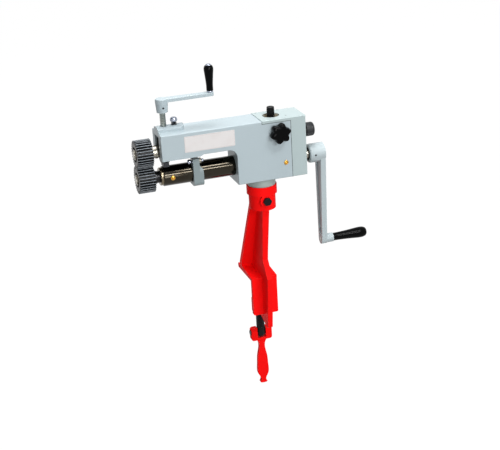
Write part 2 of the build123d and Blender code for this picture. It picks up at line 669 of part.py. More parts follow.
with BuildPart() as frame_casting:
    with BuildSketch(side_plane()):
        with BuildLine():
            Polyline(
                (THROAT_X, HEAD_FLOOR_Z),
                (SPLIT_X - SEAM_GAP, HEAD_FLOOR_Z),
                (SPLIT_X - SEAM_GAP, LIP_Z - SEAM_GAP),
                (SEAM_X - SEAM_GAP, LIP_Z - SEAM_GAP),
                (SEAM_X - SEAM_GAP, CASTING_TOP_Z),
                (ARM_END_X, CASTING_TOP_Z),
                (ARM_END_X, ARM_FLOOR_Z - NOSE_DROP),
                (ARM_END_X + NOSE_LENGTH, ARM_FLOOR_Z - NOSE_DROP),
                (ARM_END_X + NOSE_LENGTH + 2 * NOSE_DROP, ARM_FLOOR_Z),
                (THROAT_X, ARM_FLOOR_Z),
                close=True,
            )
        make_face()
    extrude(amount=HALF_WIDTH, both=True)
    throat_corner = frame_casting.edges().filter_by(Axis.Y).sort_by_distance(
        (THROAT_X, MID_Y, ARM_FLOOR_Z)
    )[0]
    fillet(throat_corner, radius=THROAT_RADIUS)
    long_edges = frame_casting.edges().filter_by(Axis.X).filter_by(
        lambda edge: edge.center().Z > CASTING_TOP_Z - 1 or edge.center().Z < HEAD_FLOOR_Z + 1
    )
    end_edges = frame_casting.edges().filter_by(Axis.Z).filter_by(
        lambda edge: edge.center().X < THROAT_X + 1
    )
    fillet(long_edges + end_edges, radius=CASTING_EDGE)
    add(arm_boss.part)
    # gear space, open to the rear and under the top plate of the cover
    with BuildSketch(side_plane(MID_Y - INNER_HALF)):
        with BuildLine():
            Polyline(
                (INNER_FRONT_X, INNER_FLOOR_Z),
                (REAR_X, INNER_FLOOR_Z),
                (REAR_X, CASTING_TOP_Z),
                (SEAM_X + SIDE_WALL, CASTING_TOP_Z),
                (SEAM_X + SIDE_WALL, CEILING_Z),
                (INNER_FRONT_X, CEILING_Z),
                close=True,
            )
        make_face()
    extrude(amount=-2 * INNER_HALF, mode=Mode.SUBTRACT)
    # channel of the arm, and the slot through which the upper shaft enters the gear space
    channel_half = HALF_WIDTH - ARM_WALL
    channel_back_x = THROAT_X - THROAT_RADIUS
    block((ARM_END_X + ARM_END_WALL, channel_back_x), about_mid(channel_half),
          (HEAD_FLOOR_Z, CEILING_Z), Mode.SUBTRACT)
    shaft_lift = ROLLER_LIFT * (PIVOT_X - channel_back_x) / (PIVOT_X - SCREW_X)
    with BuildSketch(shaft_plane(channel_back_x, UPPER_Z + shaft_lift / 2)):
        SlotCenterToCenter(shaft_lift, 2 * (SHAFT_RADIUS + LOOSE_FIT), rotation=90)
    extrude(amount=INNER_FRONT_X - channel_back_x, mode=Mode.SUBTRACT)
    # window in the end of the arm
    block((ARM_END_X, ARM_END_X + ARM_END_WALL), about_mid(WINDOW_WIDTH / 2),
          (HEAD_FLOOR_Z, CEILING_Z - WINDOW_ROOF), Mode.SUBTRACT)
    # bearing web inside the gearbox
    with BuildSketch(shaft_plane(WEB_X, LOWER_Z)):
        Circle(WEB_HALF_WIDTH)
        with Locations((0, (INNER_FLOOR_Z - LOWER_Z) / 2)):
            Rectangle(2 * WEB_HALF_WIDTH, LOWER_Z - INNER_FLOOR_Z)
        Rectangle(2 * INNER_HALF, WEB_THICKNESS)
    extrude(amount=WEB_THICKNESS)
    # boss behind the throat face for the tube
    extrude(disc(shaft_plane(INNER_FRONT_X, LOWER_Z), TUBE_RADIUS + SIDE_WALL),
            amount=TUBE_SHANK - FRONT_WALL)
    # corner bosses for the screws of the cover
    boss_y = INNER_HALF - CORNER_BOSS_RADIUS + 1
    boss_low = INNER_FLOOR_Z + CORNER_BOSS_RADIUS - 1 - LOWER_Z
    boss_high = LIP_Z - SEAM_GAP - CORNER_BOSS_RADIUS - LOWER_Z
    corner_points = [(side * boss_y, rise) for side in (-1, 1) for rise in (boss_low, boss_high)]
    with BuildSketch(shaft_plane(SPLIT_X - SEAM_GAP, LOWER_Z)):
        with Locations(*corner_points):
            Circle(CORNER_BOSS_RADIUS)
    extrude(amount=-CORNER_BOSS_LENGTH)
    with BuildSketch(shaft_plane(SPLIT_X - SEAM_GAP, LOWER_Z)):
        with Locations(*corner_points):
            Circle(COVER_SCREW_RADIUS)
    extrude(amount=-CORNER_BOSS_LENGTH + SIDE_WALL, mode=Mode.SUBTRACT)
    # bores: tube, bearing web, adjusting screw with its nut, lift bolt with its spring
    extrude(disc(shaft_plane(THROAT_X, LOWER_Z), TUBE_RADIUS), amount=TUBE_SHANK, mode=Mode.SUBTRACT)
    extrude(disc(shaft_plane(WEB_X, LOWER_Z), BUSH_RADIUS), amount=WEB_THICKNESS, mode=Mode.SUBTRACT)
    extrude(disc(level(CEILING_Z, SCREW_X), SCREW_NUT_RADIUS), amount=SCREW_NUT_HEIGHT,
            mode=Mode.SUBTRACT)
    extrude(disc(level(CEILING_Z, SCREW_X), SCREW_RADIUS + LOOSE_FIT), amount=ROOF + BOSS_CROWN,
            mode=Mode.SUBTRACT)
    extrude(disc(level(CEILING_Z, BOLT_X), BOLT_RADIUS + 2), amount=ROOF + BOSS_CROWN,
            mode=Mode.SUBTRACT)
    extrude(disc(level(BOSS_TOP_Z, BOLT_X), SPRING_RADIUS + SPRING_WIRE), amount=-SPRING_SEAT_DEPTH,
            mode=Mode.SUBTRACT)
    # holes for the star knob's stud, the oiler of the bearing web and the bolts of the spigot
    front_face = MID_Y - HALF_WIDTH
    star_hole_plane = side_plane(front_face, STAR_X, HEAD_FLOOR_Z + STAR_RISE)
    extrude(disc(star_hole_plane, STAR_STUD_RADIUS + RUNNING_FIT), amount=-SIDE_WALL,
            mode=Mode.SUBTRACT)
    extrude(disc(side_plane(front_face, GEAR_OILER_X, LOWER_Z), OILER_SHANK_RADIUS),
            amount=-OILER_SHANK, mode=Mode.SUBTRACT)
    with BuildSketch(level(HEAD_FLOOR_Z)):
        with PolarLocations(SPIGOT_BOLT_CIRCLE, SPIGOT_BOLTS, start_angle=45):
            Circle(SPIGOT_BOLT_RADIUS + LOOSE_FIT)
    extrude(amount=BOX_FLOOR, mode=Mode.SUBTRACT)
save(frame_casting, "frame_casting")

# ---- Cover: rear cap and top plate in one casting, with its screws -------------------------------------
def ball_section(radius, half_length):
    """Sketch to revolve into a ball that is cut square at both ends."""
    end_radius = sqrt(radius**2 - half_length**2)
    with BuildSketch(side_plane(x=PIVOT_X, z=UPPER_Z)) as outline:
        with BuildLine():
            ThreePointArc((-half_length, end_radius), (0, radius), (half_length, end_radius))
            Polyline((half_length, end_radius), (half_length, 0), (-half_length, 0),
                     (-half_length, end_radius))
        make_face()
    return outline.sketch


with BuildPart() as gear_cover:
    with BuildSketch(side_plane()):
        with BuildLine():
            Polyline(
                (SPLIT_X, HEAD_FLOOR_Z),
                (REAR_X, HEAD_FLOOR_Z),
                (REAR_X, COVER_TOP_Z),
                (SEAM_X, COVER_TOP_Z),
                (SEAM_X, LIP_Z),
                (SPLIT_X, LIP_Z),
                close=True,
            )
        make_face()
    extrude(amount=HALF_WIDTH, both=True)
    cover_edges = gear_cover.edges().filter_by(Axis.X).filter_by(
        lambda edge: edge.center().Z > COVER_TOP_Z - 1 or edge.center().Z < HEAD_FLOOR_Z + 1
    )
    fillet(cover_edges + gear_cover.edges().filter_by(Axis.Z).group_by(Axis.X)[-1],
           radius=CASTING_EDGE)
    block((SPLIT_X, REAR_X - CAP_WALL), about_mid(INNER_HALF), (INNER_FLOOR_Z, LIP_Z), Mode.SUBTRACT)
    with BuildSketch(shaft_plane(SPLIT_X, LOWER_Z)):
        with Locations(*corner_points):
            Circle(CORNER_BOSS_RADIUS)
    extrude(amount=CAP_LENGTH - CAP_WALL)
    # seats of the rear ball and of the rear bush
    seat_front_x = PIVOT_X - SEAT_HALF_LENGTH
    for seat_z in (UPPER_Z, LOWER_Z):
        extrude(disc(shaft_plane(seat_front_x, seat_z), SEAT_RADIUS),
                amount=REAR_X - CAP_WALL - seat_front_x)
    revolve(ball_section(BALL_RADIUS + RUNNING_FIT, SEAT_HALF_LENGTH), axis=shaft_axis(UPPER_Z),
            mode=Mode.SUBTRACT)
    extrude(disc(shaft_plane(seat_front_x, UPPER_Z), REAR_STUD_RADIUS + RUNNING_FIT),
            amount=REAR_X - seat_front_x, mode=Mode.SUBTRACT)
    rear_bush_radius = REAR_JOURNAL_RADIUS + RUNNING_FIT + BUSH_WALL
    extrude(disc(shaft_plane(seat_front_x, LOWER_Z), rear_bush_radius),
            amount=REAR_X - seat_front_x, mode=Mode.SUBTRACT)
    # opening over the index knob
    extrude(disc(level(LIP_Z, INDEX_X), INDEX_OPENING_RADIUS), amount=COVER_TOP_Z - LIP_Z,
            mode=Mode.SUBTRACT)
    # screw holes with room for the heads
    with BuildSketch(shaft_plane(SPLIT_X, LOWER_Z)):
        with Locations(*corner_points):
            Circle(COVER_SCREW_RADIUS + LOOSE_FIT)
    extrude(amount=CAP_LENGTH, mode=Mode.SUBTRACT)
    with BuildSketch(shaft_plane(REAR_X, LOWER_Z)):
        with Locations(*corner_points):
            Circle(COVER_HEAD_RADIUS + LOOSE_FIT)
    extrude(amount=-COVER_HEAD_HEIGHT, mode=Mode.SUBTRACT)
save(gear_cover, "gear_cover")

with BuildPart() as cover_screws:
    head_seat_x = REAR_X - COVER_HEAD_HEIGHT
    with BuildSketch(shaft_plane(head_seat_x, LOWER_Z)):
        with Locations(*corner_points):
            Circle(COVER_HEAD_RADIUS)
            Circle(COVER_SCREW_RADIUS * 0.8, mode=Mode.SUBTRACT)
    extrude(amount=COVER_HEAD_HEIGHT - LOOSE_FIT)
    with BuildSketch(shaft_plane(head_seat_x, LOWER_Z)):
        with Locations(*corner_points):
            Circle(COVER_SCREW_RADIUS)
    extrude(amount=-(CAP_LENGTH - COVER_HEAD_HEIGHT + COVER_SCREW_GRIP))
save(cover_screws, "cover_screws")

# ---- Spigot under the gearbox and its bolts -------------------------------------------------------
with BuildPart() as socket_spigot:
    extrude(disc(level(SOCKET_TOP_Z), SPIGOT_FLANGE_RADIUS), amount=SPIGOT_FLANGE_HEIGHT)
    extrude(disc(level(SOCKET_TOP_Z), SPIGOT_RADIUS), amount=-SPIGOT_LENGTH)
    chamfer(socket_spigot.faces().sort_by(Axis.Z)[0].edges(), length=1.5)
    with BuildSketch(level(HEAD_FLOOR_Z)):
        with PolarLocations(SPIGOT_BOLT_CIRCLE, SPIGOT_BOLTS, start_angle=45):
            Circle(SPIGOT_BOLT_RADIUS)
    extrude(amount=-SPIGOT_BOLT_GRIP, mode=Mode.SUBTRACT)
save(socket_spigot, "socket_spigot")

with BuildPart() as spigot_bolts:
    with BuildSketch(level(HEAD_FLOOR_Z - SPIGOT_BOLT_GRIP)):
        with PolarLocations(SPIGOT_BOLT_CIRCLE, SPIGOT_BOLTS, start_angle=45):
            Circle(SPIGOT_BOLT_RADIUS)
    extrude(amount=SPIGOT_BOLT_GRIP + BOX_FLOOR)
    with BuildSketch(level(INNER_FLOOR_Z)):
        with PolarLocations(SPIGOT_BOLT_CIRCLE, SPIGOT_BOLTS, start_angle=45):
            Circle(SPIGOT_BOLT_HEAD_RADIUS)
    extrude(amount=2 * SPIGOT_BOLT_RADIUS)
save(spigot_bolts, "spigot_bolts")

# ---- Tube, bushes, oilers and label --------------------------------------------------------------------
tube_length = TUBE_BACK_X - TUBE_FRONT_X
tube_oiler_x = ARM_END_X + TUBE_OILER_SETBACK
with BuildPart() as lower_tube:
    extrude(disc(shaft_plane(TUBE_FRONT_X, LOWER_Z), TUBE_RADIUS, BUSH_RADIUS), amount=tube_length)
    chamfer(lower_tube.faces().sort_by(Axis.X)[0].edges().sort_by(SortBy.RADIUS)[-1], length=1.0)
    extrude(disc(side_plane(MID_Y - TUBE_RADIUS, tube_oiler_x, LOWER_Z), OILER_SHANK_RADIUS),
            amount=-OILER_SHANK, mode=Mode.SUBTRACT)
save(lower_tube, "lower_tube")

with BuildPart() as lower_bushes:
    bush_outline = (BUSH_RADIUS, SHAFT_RADIUS + RUNNING_FIT)
    extrude(disc(shaft_plane(TUBE_FRONT_X, LOWER_Z), *bush_outline), amount=BUSH_LENGTH)
    extrude(disc(shaft_plane(TUBE_BACK_X, LOWER_Z), *bush_outline), amount=-BUSH_LENGTH)
    extrude(disc(shaft_plane(WEB_X, LOWER_Z), *bush_outline), amount=WEB_THICKNESS)
    extrude(disc(shaft_plane(seat_front_x, LOWER_Z), rear_bush_radius,
                 REAR_JOURNAL_RADIUS + RUNNING_FIT), amount=REAR_X - seat_front_x)
save(lower_bushes, "lower_bushes")


def ball_oiler(x, surface_y):
    """Pressed-in ball oiler that looks forward from a surface."""
    with BuildPart() as oiler:
        extrude(disc(side_plane(surface_y, x, LOWER_Z), OILER_SHANK_RADIUS), amount=-OILER_SHANK)
        extrude(disc(side_plane(surface_y, x, LOWER_Z), OILER_RADIUS), amount=OILER_RADIUS / 2)
        chamfer(oiler.faces().sort_by(Axis.Y)[0].edges(), length=OILER_RADIUS / 4)
    return oiler


save(ball_oiler(GEAR_OILER_X, MID_Y - HALF_WIDTH), "gearbox_oiler")
save(ball_oiler(tube_oiler_x, MID_Y - TUBE_RADIUS), "tube_oiler")

with BuildPart() as label_plate:
    label_x = THROAT_X - LABEL_INSET - LABEL_LENGTH / 2
    label_z = ARM_FLOOR_Z + LABEL_RISE + LABEL_HEIGHT / 2
    extrude(slab(side_plane(MID_Y - HALF_WIDTH, label_x, label_z), LABEL_LENGTH, LABEL_HEIGHT, 1.5),
            amount=LABEL_THICKNESS)
save(label_plate, "label_plate")

# ---- Index knob, which shifts the upper shaft endways, and the star knob that locks it ---------------------
index_hub_floor_z = UPPER_Z + GEAR_SEAT_RADIUS + ROLLER_LIFT / 4 + LOOSE_FIT
index_plate_floor_z = LIP_Z - INDEX_PLATE_THICKNESS
index_spindle_radius = INDEX_KNOB_RADIUS - 2.5
with BuildPart() as index_plate:
    extrude(disc(level(index_plate_floor_z, INDEX_X), INDEX_OPENING_RADIUS + 2.5,
                 index_spindle_radius + LOOSE_FIT), amount=INDEX_PLATE_THICKNESS)
save(index_plate, "index_plate")

with BuildPart() as index_spindle:
    extrude(disc(level(index_hub_floor_z, INDEX_X), INDEX_HUB_RADIUS),
            amount=index_plate_floor_z - FACE_GAP - index_hub_floor_z)
    extrude(disc(level(index_hub_floor_z, INDEX_X), index_spindle_radius),
            amount=LIP_Z + FACE_GAP + INDEX_KNOB_HEIGHT / 2 - index_hub_floor_z)
    index_pin_foot_z = UPPER_Z + GROOVE_RADIUS + ROLLER_LIFT / 4
    extrude(disc(level(index_pin_foot_z, INDEX_X, MID_Y + INDEX_OFFSET), INDEX_PIN_RADIUS),
            amount=index_hub_floor_z - index_pin_foot_z)
save(index_spindle, "index_spindle")

with BuildPart() as index_knob:
    index_knob_floor_z = LIP_Z + FACE_GAP
    extrude(disc(level(index_knob_floor_z, INDEX_X), INDEX_KNOB_RADIUS),
            amount=COVER_TOP_Z + INDEX_KNOB_HEIGHT - index_knob_floor_z)
    chamfer(index_knob.faces().sort_by(Axis.Z)[-1].edges(), length=0.8)
    extrude(disc(level(index_knob_floor_z, INDEX_X), index_spindle_radius),
            amount=INDEX_KNOB_HEIGHT / 2, mode=Mode.SUBTRACT)
save(index_knob, "index_knob")

star_plane = side_plane(MID_Y - HALF_WIDTH - STAR_NECK, STAR_X, HEAD_FLOOR_Z + STAR_RISE)
with BuildPart() as star_knob:
    with BuildSketch(star_plane) as star_outline:
        Circle(STAR_RADIUS * 0.74)
        with PolarLocations(STAR_RADIUS * 0.68, STAR_LOBES, start_angle=15):
            Circle(STAR_RADIUS * 0.32)
        fillet(star_outline.vertices(), radius=STAR_RADIUS * 0.1)
    extrude(amount=STAR_THICKNESS)
    fillet(star_knob.faces().sort_by(Axis.Y)[0].edges(), radius=2.0)
    extrude(disc(star_plane, STAR_RADIUS * 0.45), amount=-STAR_NECK + FACE_GAP)
    extrude(disc(side_plane(MID_Y - HALF_WIDTH - FACE_GAP, STAR_X, HEAD_FLOOR_Z + STAR_RISE),
                 STAR_STUD_RADIUS), amount=STAR_THICKNESS * 0.75, mode=Mode.SUBTRACT)
save(star_knob, "star_knob")

with BuildPart() as star_knob_stud:
    hub_y = MID_Y - sqrt(INDEX_HUB_RADIUS**2 - (STAR_X - INDEX_X) ** 2) - FACE_GAP * 3
    stud_y = MID_Y - HALF_WIDTH - FACE_GAP - STAR_THICKNESS * 0.75
    extrude(disc(side_plane(hub_y, STAR_X, HEAD_FLOOR_Z + STAR_RISE), STAR_STUD_RADIUS),
            amount=hub_y - stud_y)
save(star_knob_stud, "star_knob_stud")

# ---- Carrier of the upper shaft: bearing block, bushes, lift bolt with its spring, rear ball ----------------
with BuildPart() as front_bearing_block:
    with BuildSketch(shaft_plane(FLANGE_X, UPPER_Z)) as block_outline:
        with Locations((0, (BLOCK_RISE - BLOCK_DROP) / 2)):
            Rectangle(2 * BLOCK_HALF_WIDTH, BLOCK_RISE + BLOCK_DROP)
        fillet(block_outline.vertices(), radius=4.0)
    extrude(amount=BLOCK_LENGTH)
    extrude(disc(shaft_plane(FLANGE_X, UPPER_Z), FLANGE_RADIUS), amount=FLANGE_LENGTH)
    # lug that meets the tube when the upper shaft is right down
    lug_x = FLANGE_X + LUG_SETBACK
    block((lug_x, lug_x + LUG_LENGTH), about_mid(LUG_HALF_WIDTH),
          (LOWER_Z + TUBE_RADIUS + FACE_GAP, UPPER_Z - BLOCK_DROP + 1))
    extrude(disc(shaft_plane(FLANGE_X, UPPER_Z), BUSH_RADIUS), amount=BLOCK_LENGTH,
            mode=Mode.SUBTRACT)
    extrude(disc(level(BLOCK_TOP_Z, SCREW_X), PAD_RADIUS + PAD_ROOM), amount=-PAD_HEIGHT,
            mode=Mode.SUBTRACT)
    extrude(disc(level(BLOCK_TOP_Z, BOLT_X), BOLT_RADIUS), amount=-BOLT_GRIP, mode=Mode.SUBTRACT)
save(front_bearing_block, "front_bearing_block")

with BuildPart() as upper_bushes:
    extrude(disc(shaft_plane(FLANGE_X, UPPER_Z), *bush_outline), amount=BUSH_LENGTH)
    extrude(disc(shaft_plane(FLANGE_X + BLOCK_LENGTH, UPPER_Z), *bush_outline), amount=-BUSH_LENGTH)
save(upper_bushes, "upper_bushes")

bolt_head_z = BOSS_TOP_Z + SPRING_ROOM
with BuildPart() as lift_bolt:
    extrude(disc(level(bolt_head_z, BOLT_X), BOLT_HEAD_RADIUS), amount=BOLT_HEAD_HEIGHT)
    fillet(lift_bolt.faces().sort_by(Axis.Z)[-1].edges(), radius=3.5)
    extrude(disc(level(bolt_head_z, BOLT_X), BOLT_RADIUS),
            amount=-(bolt_head_z - BLOCK_TOP_Z + BOLT_GRIP))
save(lift_bolt, "lift_bolt")

with BuildPart() as lift_spring:
    spring_floor_z = BOSS_TOP_Z - SPRING_SEAT_DEPTH + SPRING_WIRE / 2
    spring_height = bolt_head_z - FACE_GAP - SPRING_WIRE / 2 - spring_floor_z
    with BuildLine(level(spring_floor_z, BOLT_X)) as spring_path:
        Helix(pitch=spring_height / SPRING_TURNS, height=spring_height, radius=SPRING_RADIUS)
    with BuildSketch(Plane(origin=spring_path.line @ 0, z_dir=spring_path.line % 0)):
        RegularPolygon(SPRING_WIRE / 2, 6)
    sweep(is_frenet=True)
save(lift_spring, "lift_spring")

with BuildPart() as rear_pivot_ball:
    revolve(ball_section(BALL_RADIUS, BALL_HALF_LENGTH), axis=shaft_axis(UPPER_Z))
    extrude(disc(shaft_plane(PIVOT_X, UPPER_Z), JOURNAL_RADIUS + RUNNING_FIT),
            amount=BALL_HALF_LENGTH, both=True, mode=Mode.SUBTRACT)
save(rear_pivot_ball, "rear_pivot_ball")

# ---- Rear knob, which takes up the end play of the upper shaft ------------------------------------------------
rear_neck_x = REAR_X + FACE_GAP
with BuildPart() as rear_thrust_screw:
    extrude(disc(shaft_plane(rear_neck_x, UPPER_Z), REAR_NECK_RADIUS),
            amount=REAR_NECK_LENGTH - FACE_GAP)
    extrude(disc(shaft_plane(rear_neck_x, UPPER_Z), REAR_STUD_RADIUS),
            amount=-(rear_neck_x - PIVOT_X - BALL_HALF_LENGTH))
    extrude(disc(shaft_plane(rear_neck_x, UPPER_Z), REAR_STUD_RADIUS),
            amount=REAR_NECK_LENGTH + REAR_KNOB_LENGTH / 2)
save(rear_thrust_screw, "rear_thrust_screw")

with BuildPart() as rear_knob:
    rear_knob_x = REAR_X + REAR_NECK_LENGTH
    extrude(disc(shaft_plane(rear_knob_x, UPPER_Z), REAR_KNOB_RADIUS), amount=REAR_KNOB_LENGTH)
    chamfer(rear_knob.faces().sort_by(Axis.X)[-1].edges(), length=1.5)
    extrude(disc(shaft_plane(rear_knob_x, UPPER_Z), REAR_STUD_RADIUS),
            amount=FACE_GAP + REAR_KNOB_LENGTH / 2, mode=Mode.SUBTRACT)
save(rear_knob, "rear_knob")

# ---- Shafts ---------------------------------------------------------------------------------------------
shaft_front_x = ROLLER_FRONT_X + ROLLER_RECESS_DEPTH - NUT_HEIGHT - 1.5
key_span = (ROLLER_FRONT_X + ROLLER_RECESS_DEPTH + 2, ROLLER_BACK_X - 3)
gear_key_span = (GEAR_FRONT_X + 2, GEAR_BACK_X - 2)
crank_key_span = (CRANK_ARM_X - 8, CRANK_BACK_X)


def stepped_shaft(steps, axis_z):
    """Solid of a shaft; steps holds (x from, x to, radius) stretches."""
    with BuildPart() as shaft:
        for start, end, radius in steps:
            extrude(disc(shaft_plane(start, axis_z), radius), amount=end - start)
    return shaft.part


with BuildPart() as upper_shaft:
    shoulder_x = INDEX_X - GEAR_WIDTH
    add(stepped_shaft(
        [
            (shaft_front_x, shoulder_x, SHAFT_RADIUS),
            (shoulder_x, GEAR_BACK_X, GEAR_SEAT_RADIUS),
            (GEAR_BACK_X, PIVOT_X + BALL_HALF_LENGTH - FACE_GAP, JOURNAL_RADIUS),
        ],
        UPPER_Z,
    ))
    groove_half = INDEX_PIN_RADIUS + INDEX_OFFSET + FACE_GAP
    extrude(disc(shaft_plane(INDEX_X, UPPER_Z), GEAR_SEAT_RADIUS, GROOVE_RADIUS),
            amount=groove_half, both=True, mode=Mode.SUBTRACT)
    keyway(key_span, UPPER_Z, SHAFT_RADIUS)
    keyway(gear_key_span, UPPER_Z, GEAR_SEAT_RADIUS)
save(upper_shaft, "upper_shaft")

with BuildPart() as lower_shaft:
    add(stepped_shaft(
        [
            (shaft_front_x, WEB_X + WEB_THICKNESS + FACE_GAP, SHAFT_RADIUS),
            (WEB_X + WEB_THICKNESS + FACE_GAP, GEAR_BACK_X, GEAR_SEAT_RADIUS),
            (GEAR_BACK_X, CRANK_BACK_X - 1, REAR_JOURNAL_RADIUS),
        ],
        LOWER_Z,
    ))
    keyway(key_span, LOWER_Z, SHAFT_RADIUS)
    keyway(gear_key_span, LOWER_Z, GEAR_SEAT_RADIUS)
    keyway(crank_key_span, LOWER_Z, REAR_JOURNAL_RADIUS)
save(lower_shaft, "lower_shaft")

with BuildPart() as upper_shaft_keys:
    keyway(key_span, UPPER_Z, SHAFT_RADIUS, Mode.ADD)
    keyway(gear_key_span, UPPER_Z, GEAR_SEAT_RADIUS, Mode.ADD)
save(upper_shaft_keys, "upper_shaft_keys")

with BuildPart() as lower_shaft_keys:
    keyway(key_span, LOWER_Z, SHAFT_RADIUS, Mode.ADD)
    keyway(gear_key_span, LOWER_Z, GEAR_SEAT_RADIUS, Mode.ADD)
    keyway((crank_key_span[0], CRANK_BACK_X - 1), LOWER_Z, REAR_JOURNAL_RADIUS, Mode.ADD)
save(lower_shaft_keys, "lower_shaft_keys")


# ---- Rollers, gears, nuts and spacers of both shafts ------------------------------------------------------
# A tooth of the lower wheel points straight up and meets a gap of the upper wheel.
def crimping_roller(axis_z, phase):
    """Toothed roller with a recess for its nut and a keyway."""
    with BuildPart() as roller:
        extrude(toothed(shaft_plane(ROLLER_FRONT_X, axis_z), ROLLER_TEETH,
                        roller_flank(SHAFT_SPACING / 2), phase), amount=ROLLER_LENGTH)
        extrude(disc(shaft_plane(ROLLER_FRONT_X, axis_z), SHAFT_RADIUS), amount=ROLLER_LENGTH,
                mode=Mode.SUBTRACT)
        extrude(disc(shaft_plane(ROLLER_FRONT_X, axis_z), ROLLER_RECESS_RADIUS),
                amount=ROLLER_RECESS_DEPTH, mode=Mode.SUBTRACT)
        keyway(key_span, axis_z, SHAFT_RADIUS)
    return roller


def spur_gear(axis_z, phase):
    """Spur gear keyed on its seat."""
    with BuildPart() as gear:
        extrude(toothed(shaft_plane(GEAR_FRONT_X, axis_z), GEAR_TEETH,
                        involute_flank(SHAFT_SPACING / 2, GEAR_TEETH), phase), amount=GEAR_WIDTH)
        extrude(disc(shaft_plane(GEAR_FRONT_X, axis_z), GEAR_SEAT_RADIUS), amount=GEAR_WIDTH,
                mode=Mode.SUBTRACT)
        keyway(gear_key_span, axis_z, GEAR_SEAT_RADIUS)
    return gear


def roller_nut(axis_z):
    """Nut on the front end of a shaft."""
    with BuildPart() as nut:
        nut_x = ROLLER_FRONT_X + ROLLER_RECESS_DEPTH
        extrude(hexagon(shaft_plane(nut_x, axis_z), NUT_FLATS, SHAFT_RADIUS), amount=-NUT_HEIGHT)
    return nut


for row, axis_z, roller_phase, gear_phase in (
    ("upper", UPPER_Z, -pi / 2 + pi / ROLLER_TEETH, -pi / 2 + pi / GEAR_TEETH),
    ("lower", LOWER_Z, pi / 2, pi / 2),
):
    save(crimping_roller(axis_z, roller_phase), f"{row}_roller")
    save(spur_gear(axis_z, gear_phase), f"{row}_gear")
    save(roller_nut(axis_z), f"{row}_roller_nut")

with BuildPart() as upper_collar:
    extrude(disc(shaft_plane(ROLLER_BACK_X, UPPER_Z), NECK_RADIUS, SHAFT_RADIUS),
            amount=FLANGE_X - FACE_GAP - ROLLER_BACK_X)
save(upper_collar, "upper_collar")

thrust_ring_x = TUBE_FRONT_X - FACE_GAP - THRUST_RING_LENGTH
with BuildPart() as lower_collar:
    extrude(disc(shaft_plane(ROLLER_BACK_X, LOWER_Z), NECK_RADIUS, SHAFT_RADIUS),
            amount=thrust_ring_x - ROLLER_BACK_X)
save(lower_collar, "lower_collar")

with BuildPart() as thrust_ring:
    extrude(disc(shaft_plane(thrust_ring_x, LOWER_Z), THRUST_RING_RADIUS, SHAFT_RADIUS),
            amount=THRUST_RING_LENGTH)
    chamfer(thrust_ring.faces().sort_by(Axis.X)[0].edges().sort_by(SortBy.RADIUS)[-1], length=1.0)
save(thrust_ring, "thrust_ring")

# ---- Main crank with its turning grip ------------------------------------------------------------------------
grip_axis_z = LOWER_Z - CRANK_RADIUS
grip_foot_x = CRANK_BACK_X + GRIP_BOSS_LENGTH
with BuildPart() as crank_arm:
    with BuildSketch(shaft_plane(CRANK_ARM_X, LOWER_Z)):
        Circle(CRANK_HUB_RADIUS * 0.87)
        with Locations((0, -CRANK_RADIUS)):
            Circle(CRANK_END_RADIUS)
        make_hull()
        Circle(CRANK_HUB_RADIUS)
    extrude(amount=CRANK_ARM_THICKNESS)
    # shallow channel along the side that faces the gearbox
    with BuildSketch(shaft_plane(CRANK_ARM_X, LOWER_Z)):
        with Locations((0, -CRANK_HUB_RADIUS - CRANK_RECESS_RIM)):
            Circle(CRANK_HUB_RADIUS * 0.87 - CRANK_RECESS_RIM - 2)
        with Locations((0, -CRANK_RADIUS + CRANK_END_RADIUS * 1.7)):
            Circle(CRANK_END_RADIUS - CRANK_RECESS_RIM)
        make_hull()
    extrude(amount=CRANK_RECESS_DEPTH, mode=Mode.SUBTRACT)
    extrude(disc(shaft_plane(HUB_FRONT_X, LOWER_Z), CRANK_HUB_RADIUS), amount=CRANK_ARM_INSET)
    fillet(crank_arm.edges().filter_by(GeomType.CIRCLE).group_by(Axis.X)[0], radius=4.0)
    extrude(disc(shaft_plane(CRANK_BACK_X, grip_axis_z), GRIP_BOSS_RADIUS), amount=GRIP_BOSS_LENGTH)
    # bores: shaft with a relief at its mouth, keyway, grip spindle, set screw
    extrude(disc(shaft_plane(HUB_FRONT_X, LOWER_Z), REAR_JOURNAL_RADIUS),
            amount=CRANK_BACK_X - HUB_FRONT_X, mode=Mode.SUBTRACT)
    extrude(disc(shaft_plane(HUB_FRONT_X, LOWER_Z), REAR_JOURNAL_RADIUS + 3.5), amount=6,
            mode=Mode.SUBTRACT)
    keyway(crank_key_span, LOWER_Z, REAR_JOURNAL_RADIUS)
    extrude(disc(shaft_plane(CRANK_ARM_X, grip_axis_z), SPINDLE_RADIUS),
            amount=grip_foot_x - CRANK_ARM_X, mode=Mode.SUBTRACT)
    set_screw_x = HUB_FRONT_X + CRANK_ARM_INSET / 2
    extrude(disc(side_plane(MID_Y, set_screw_x, LOWER_Z), SET_SCREW_RADIUS), amount=CRANK_HUB_RADIUS,
            mode=Mode.SUBTRACT)
save(crank_arm, "crank_arm")

with BuildPart() as crank_set_screw:
    extrude(disc(side_plane(MID_Y - REAR_JOURNAL_RADIUS, set_screw_x, LOWER_Z), SET_SCREW_RADIUS),
            amount=CRANK_HUB_RADIUS - REAR_JOURNAL_RADIUS - 1)
save(crank_set_screw, "crank_set_screw")

with BuildPart() as grip_spindle:
    extrude(disc(shaft_plane(CRANK_ARM_X, grip_axis_z), SPINDLE_RADIUS),
            amount=grip_foot_x + FACE_GAP + GRIP_LENGTH - 4 - CRANK_ARM_X)
save(grip_spindle, "grip_spindle")

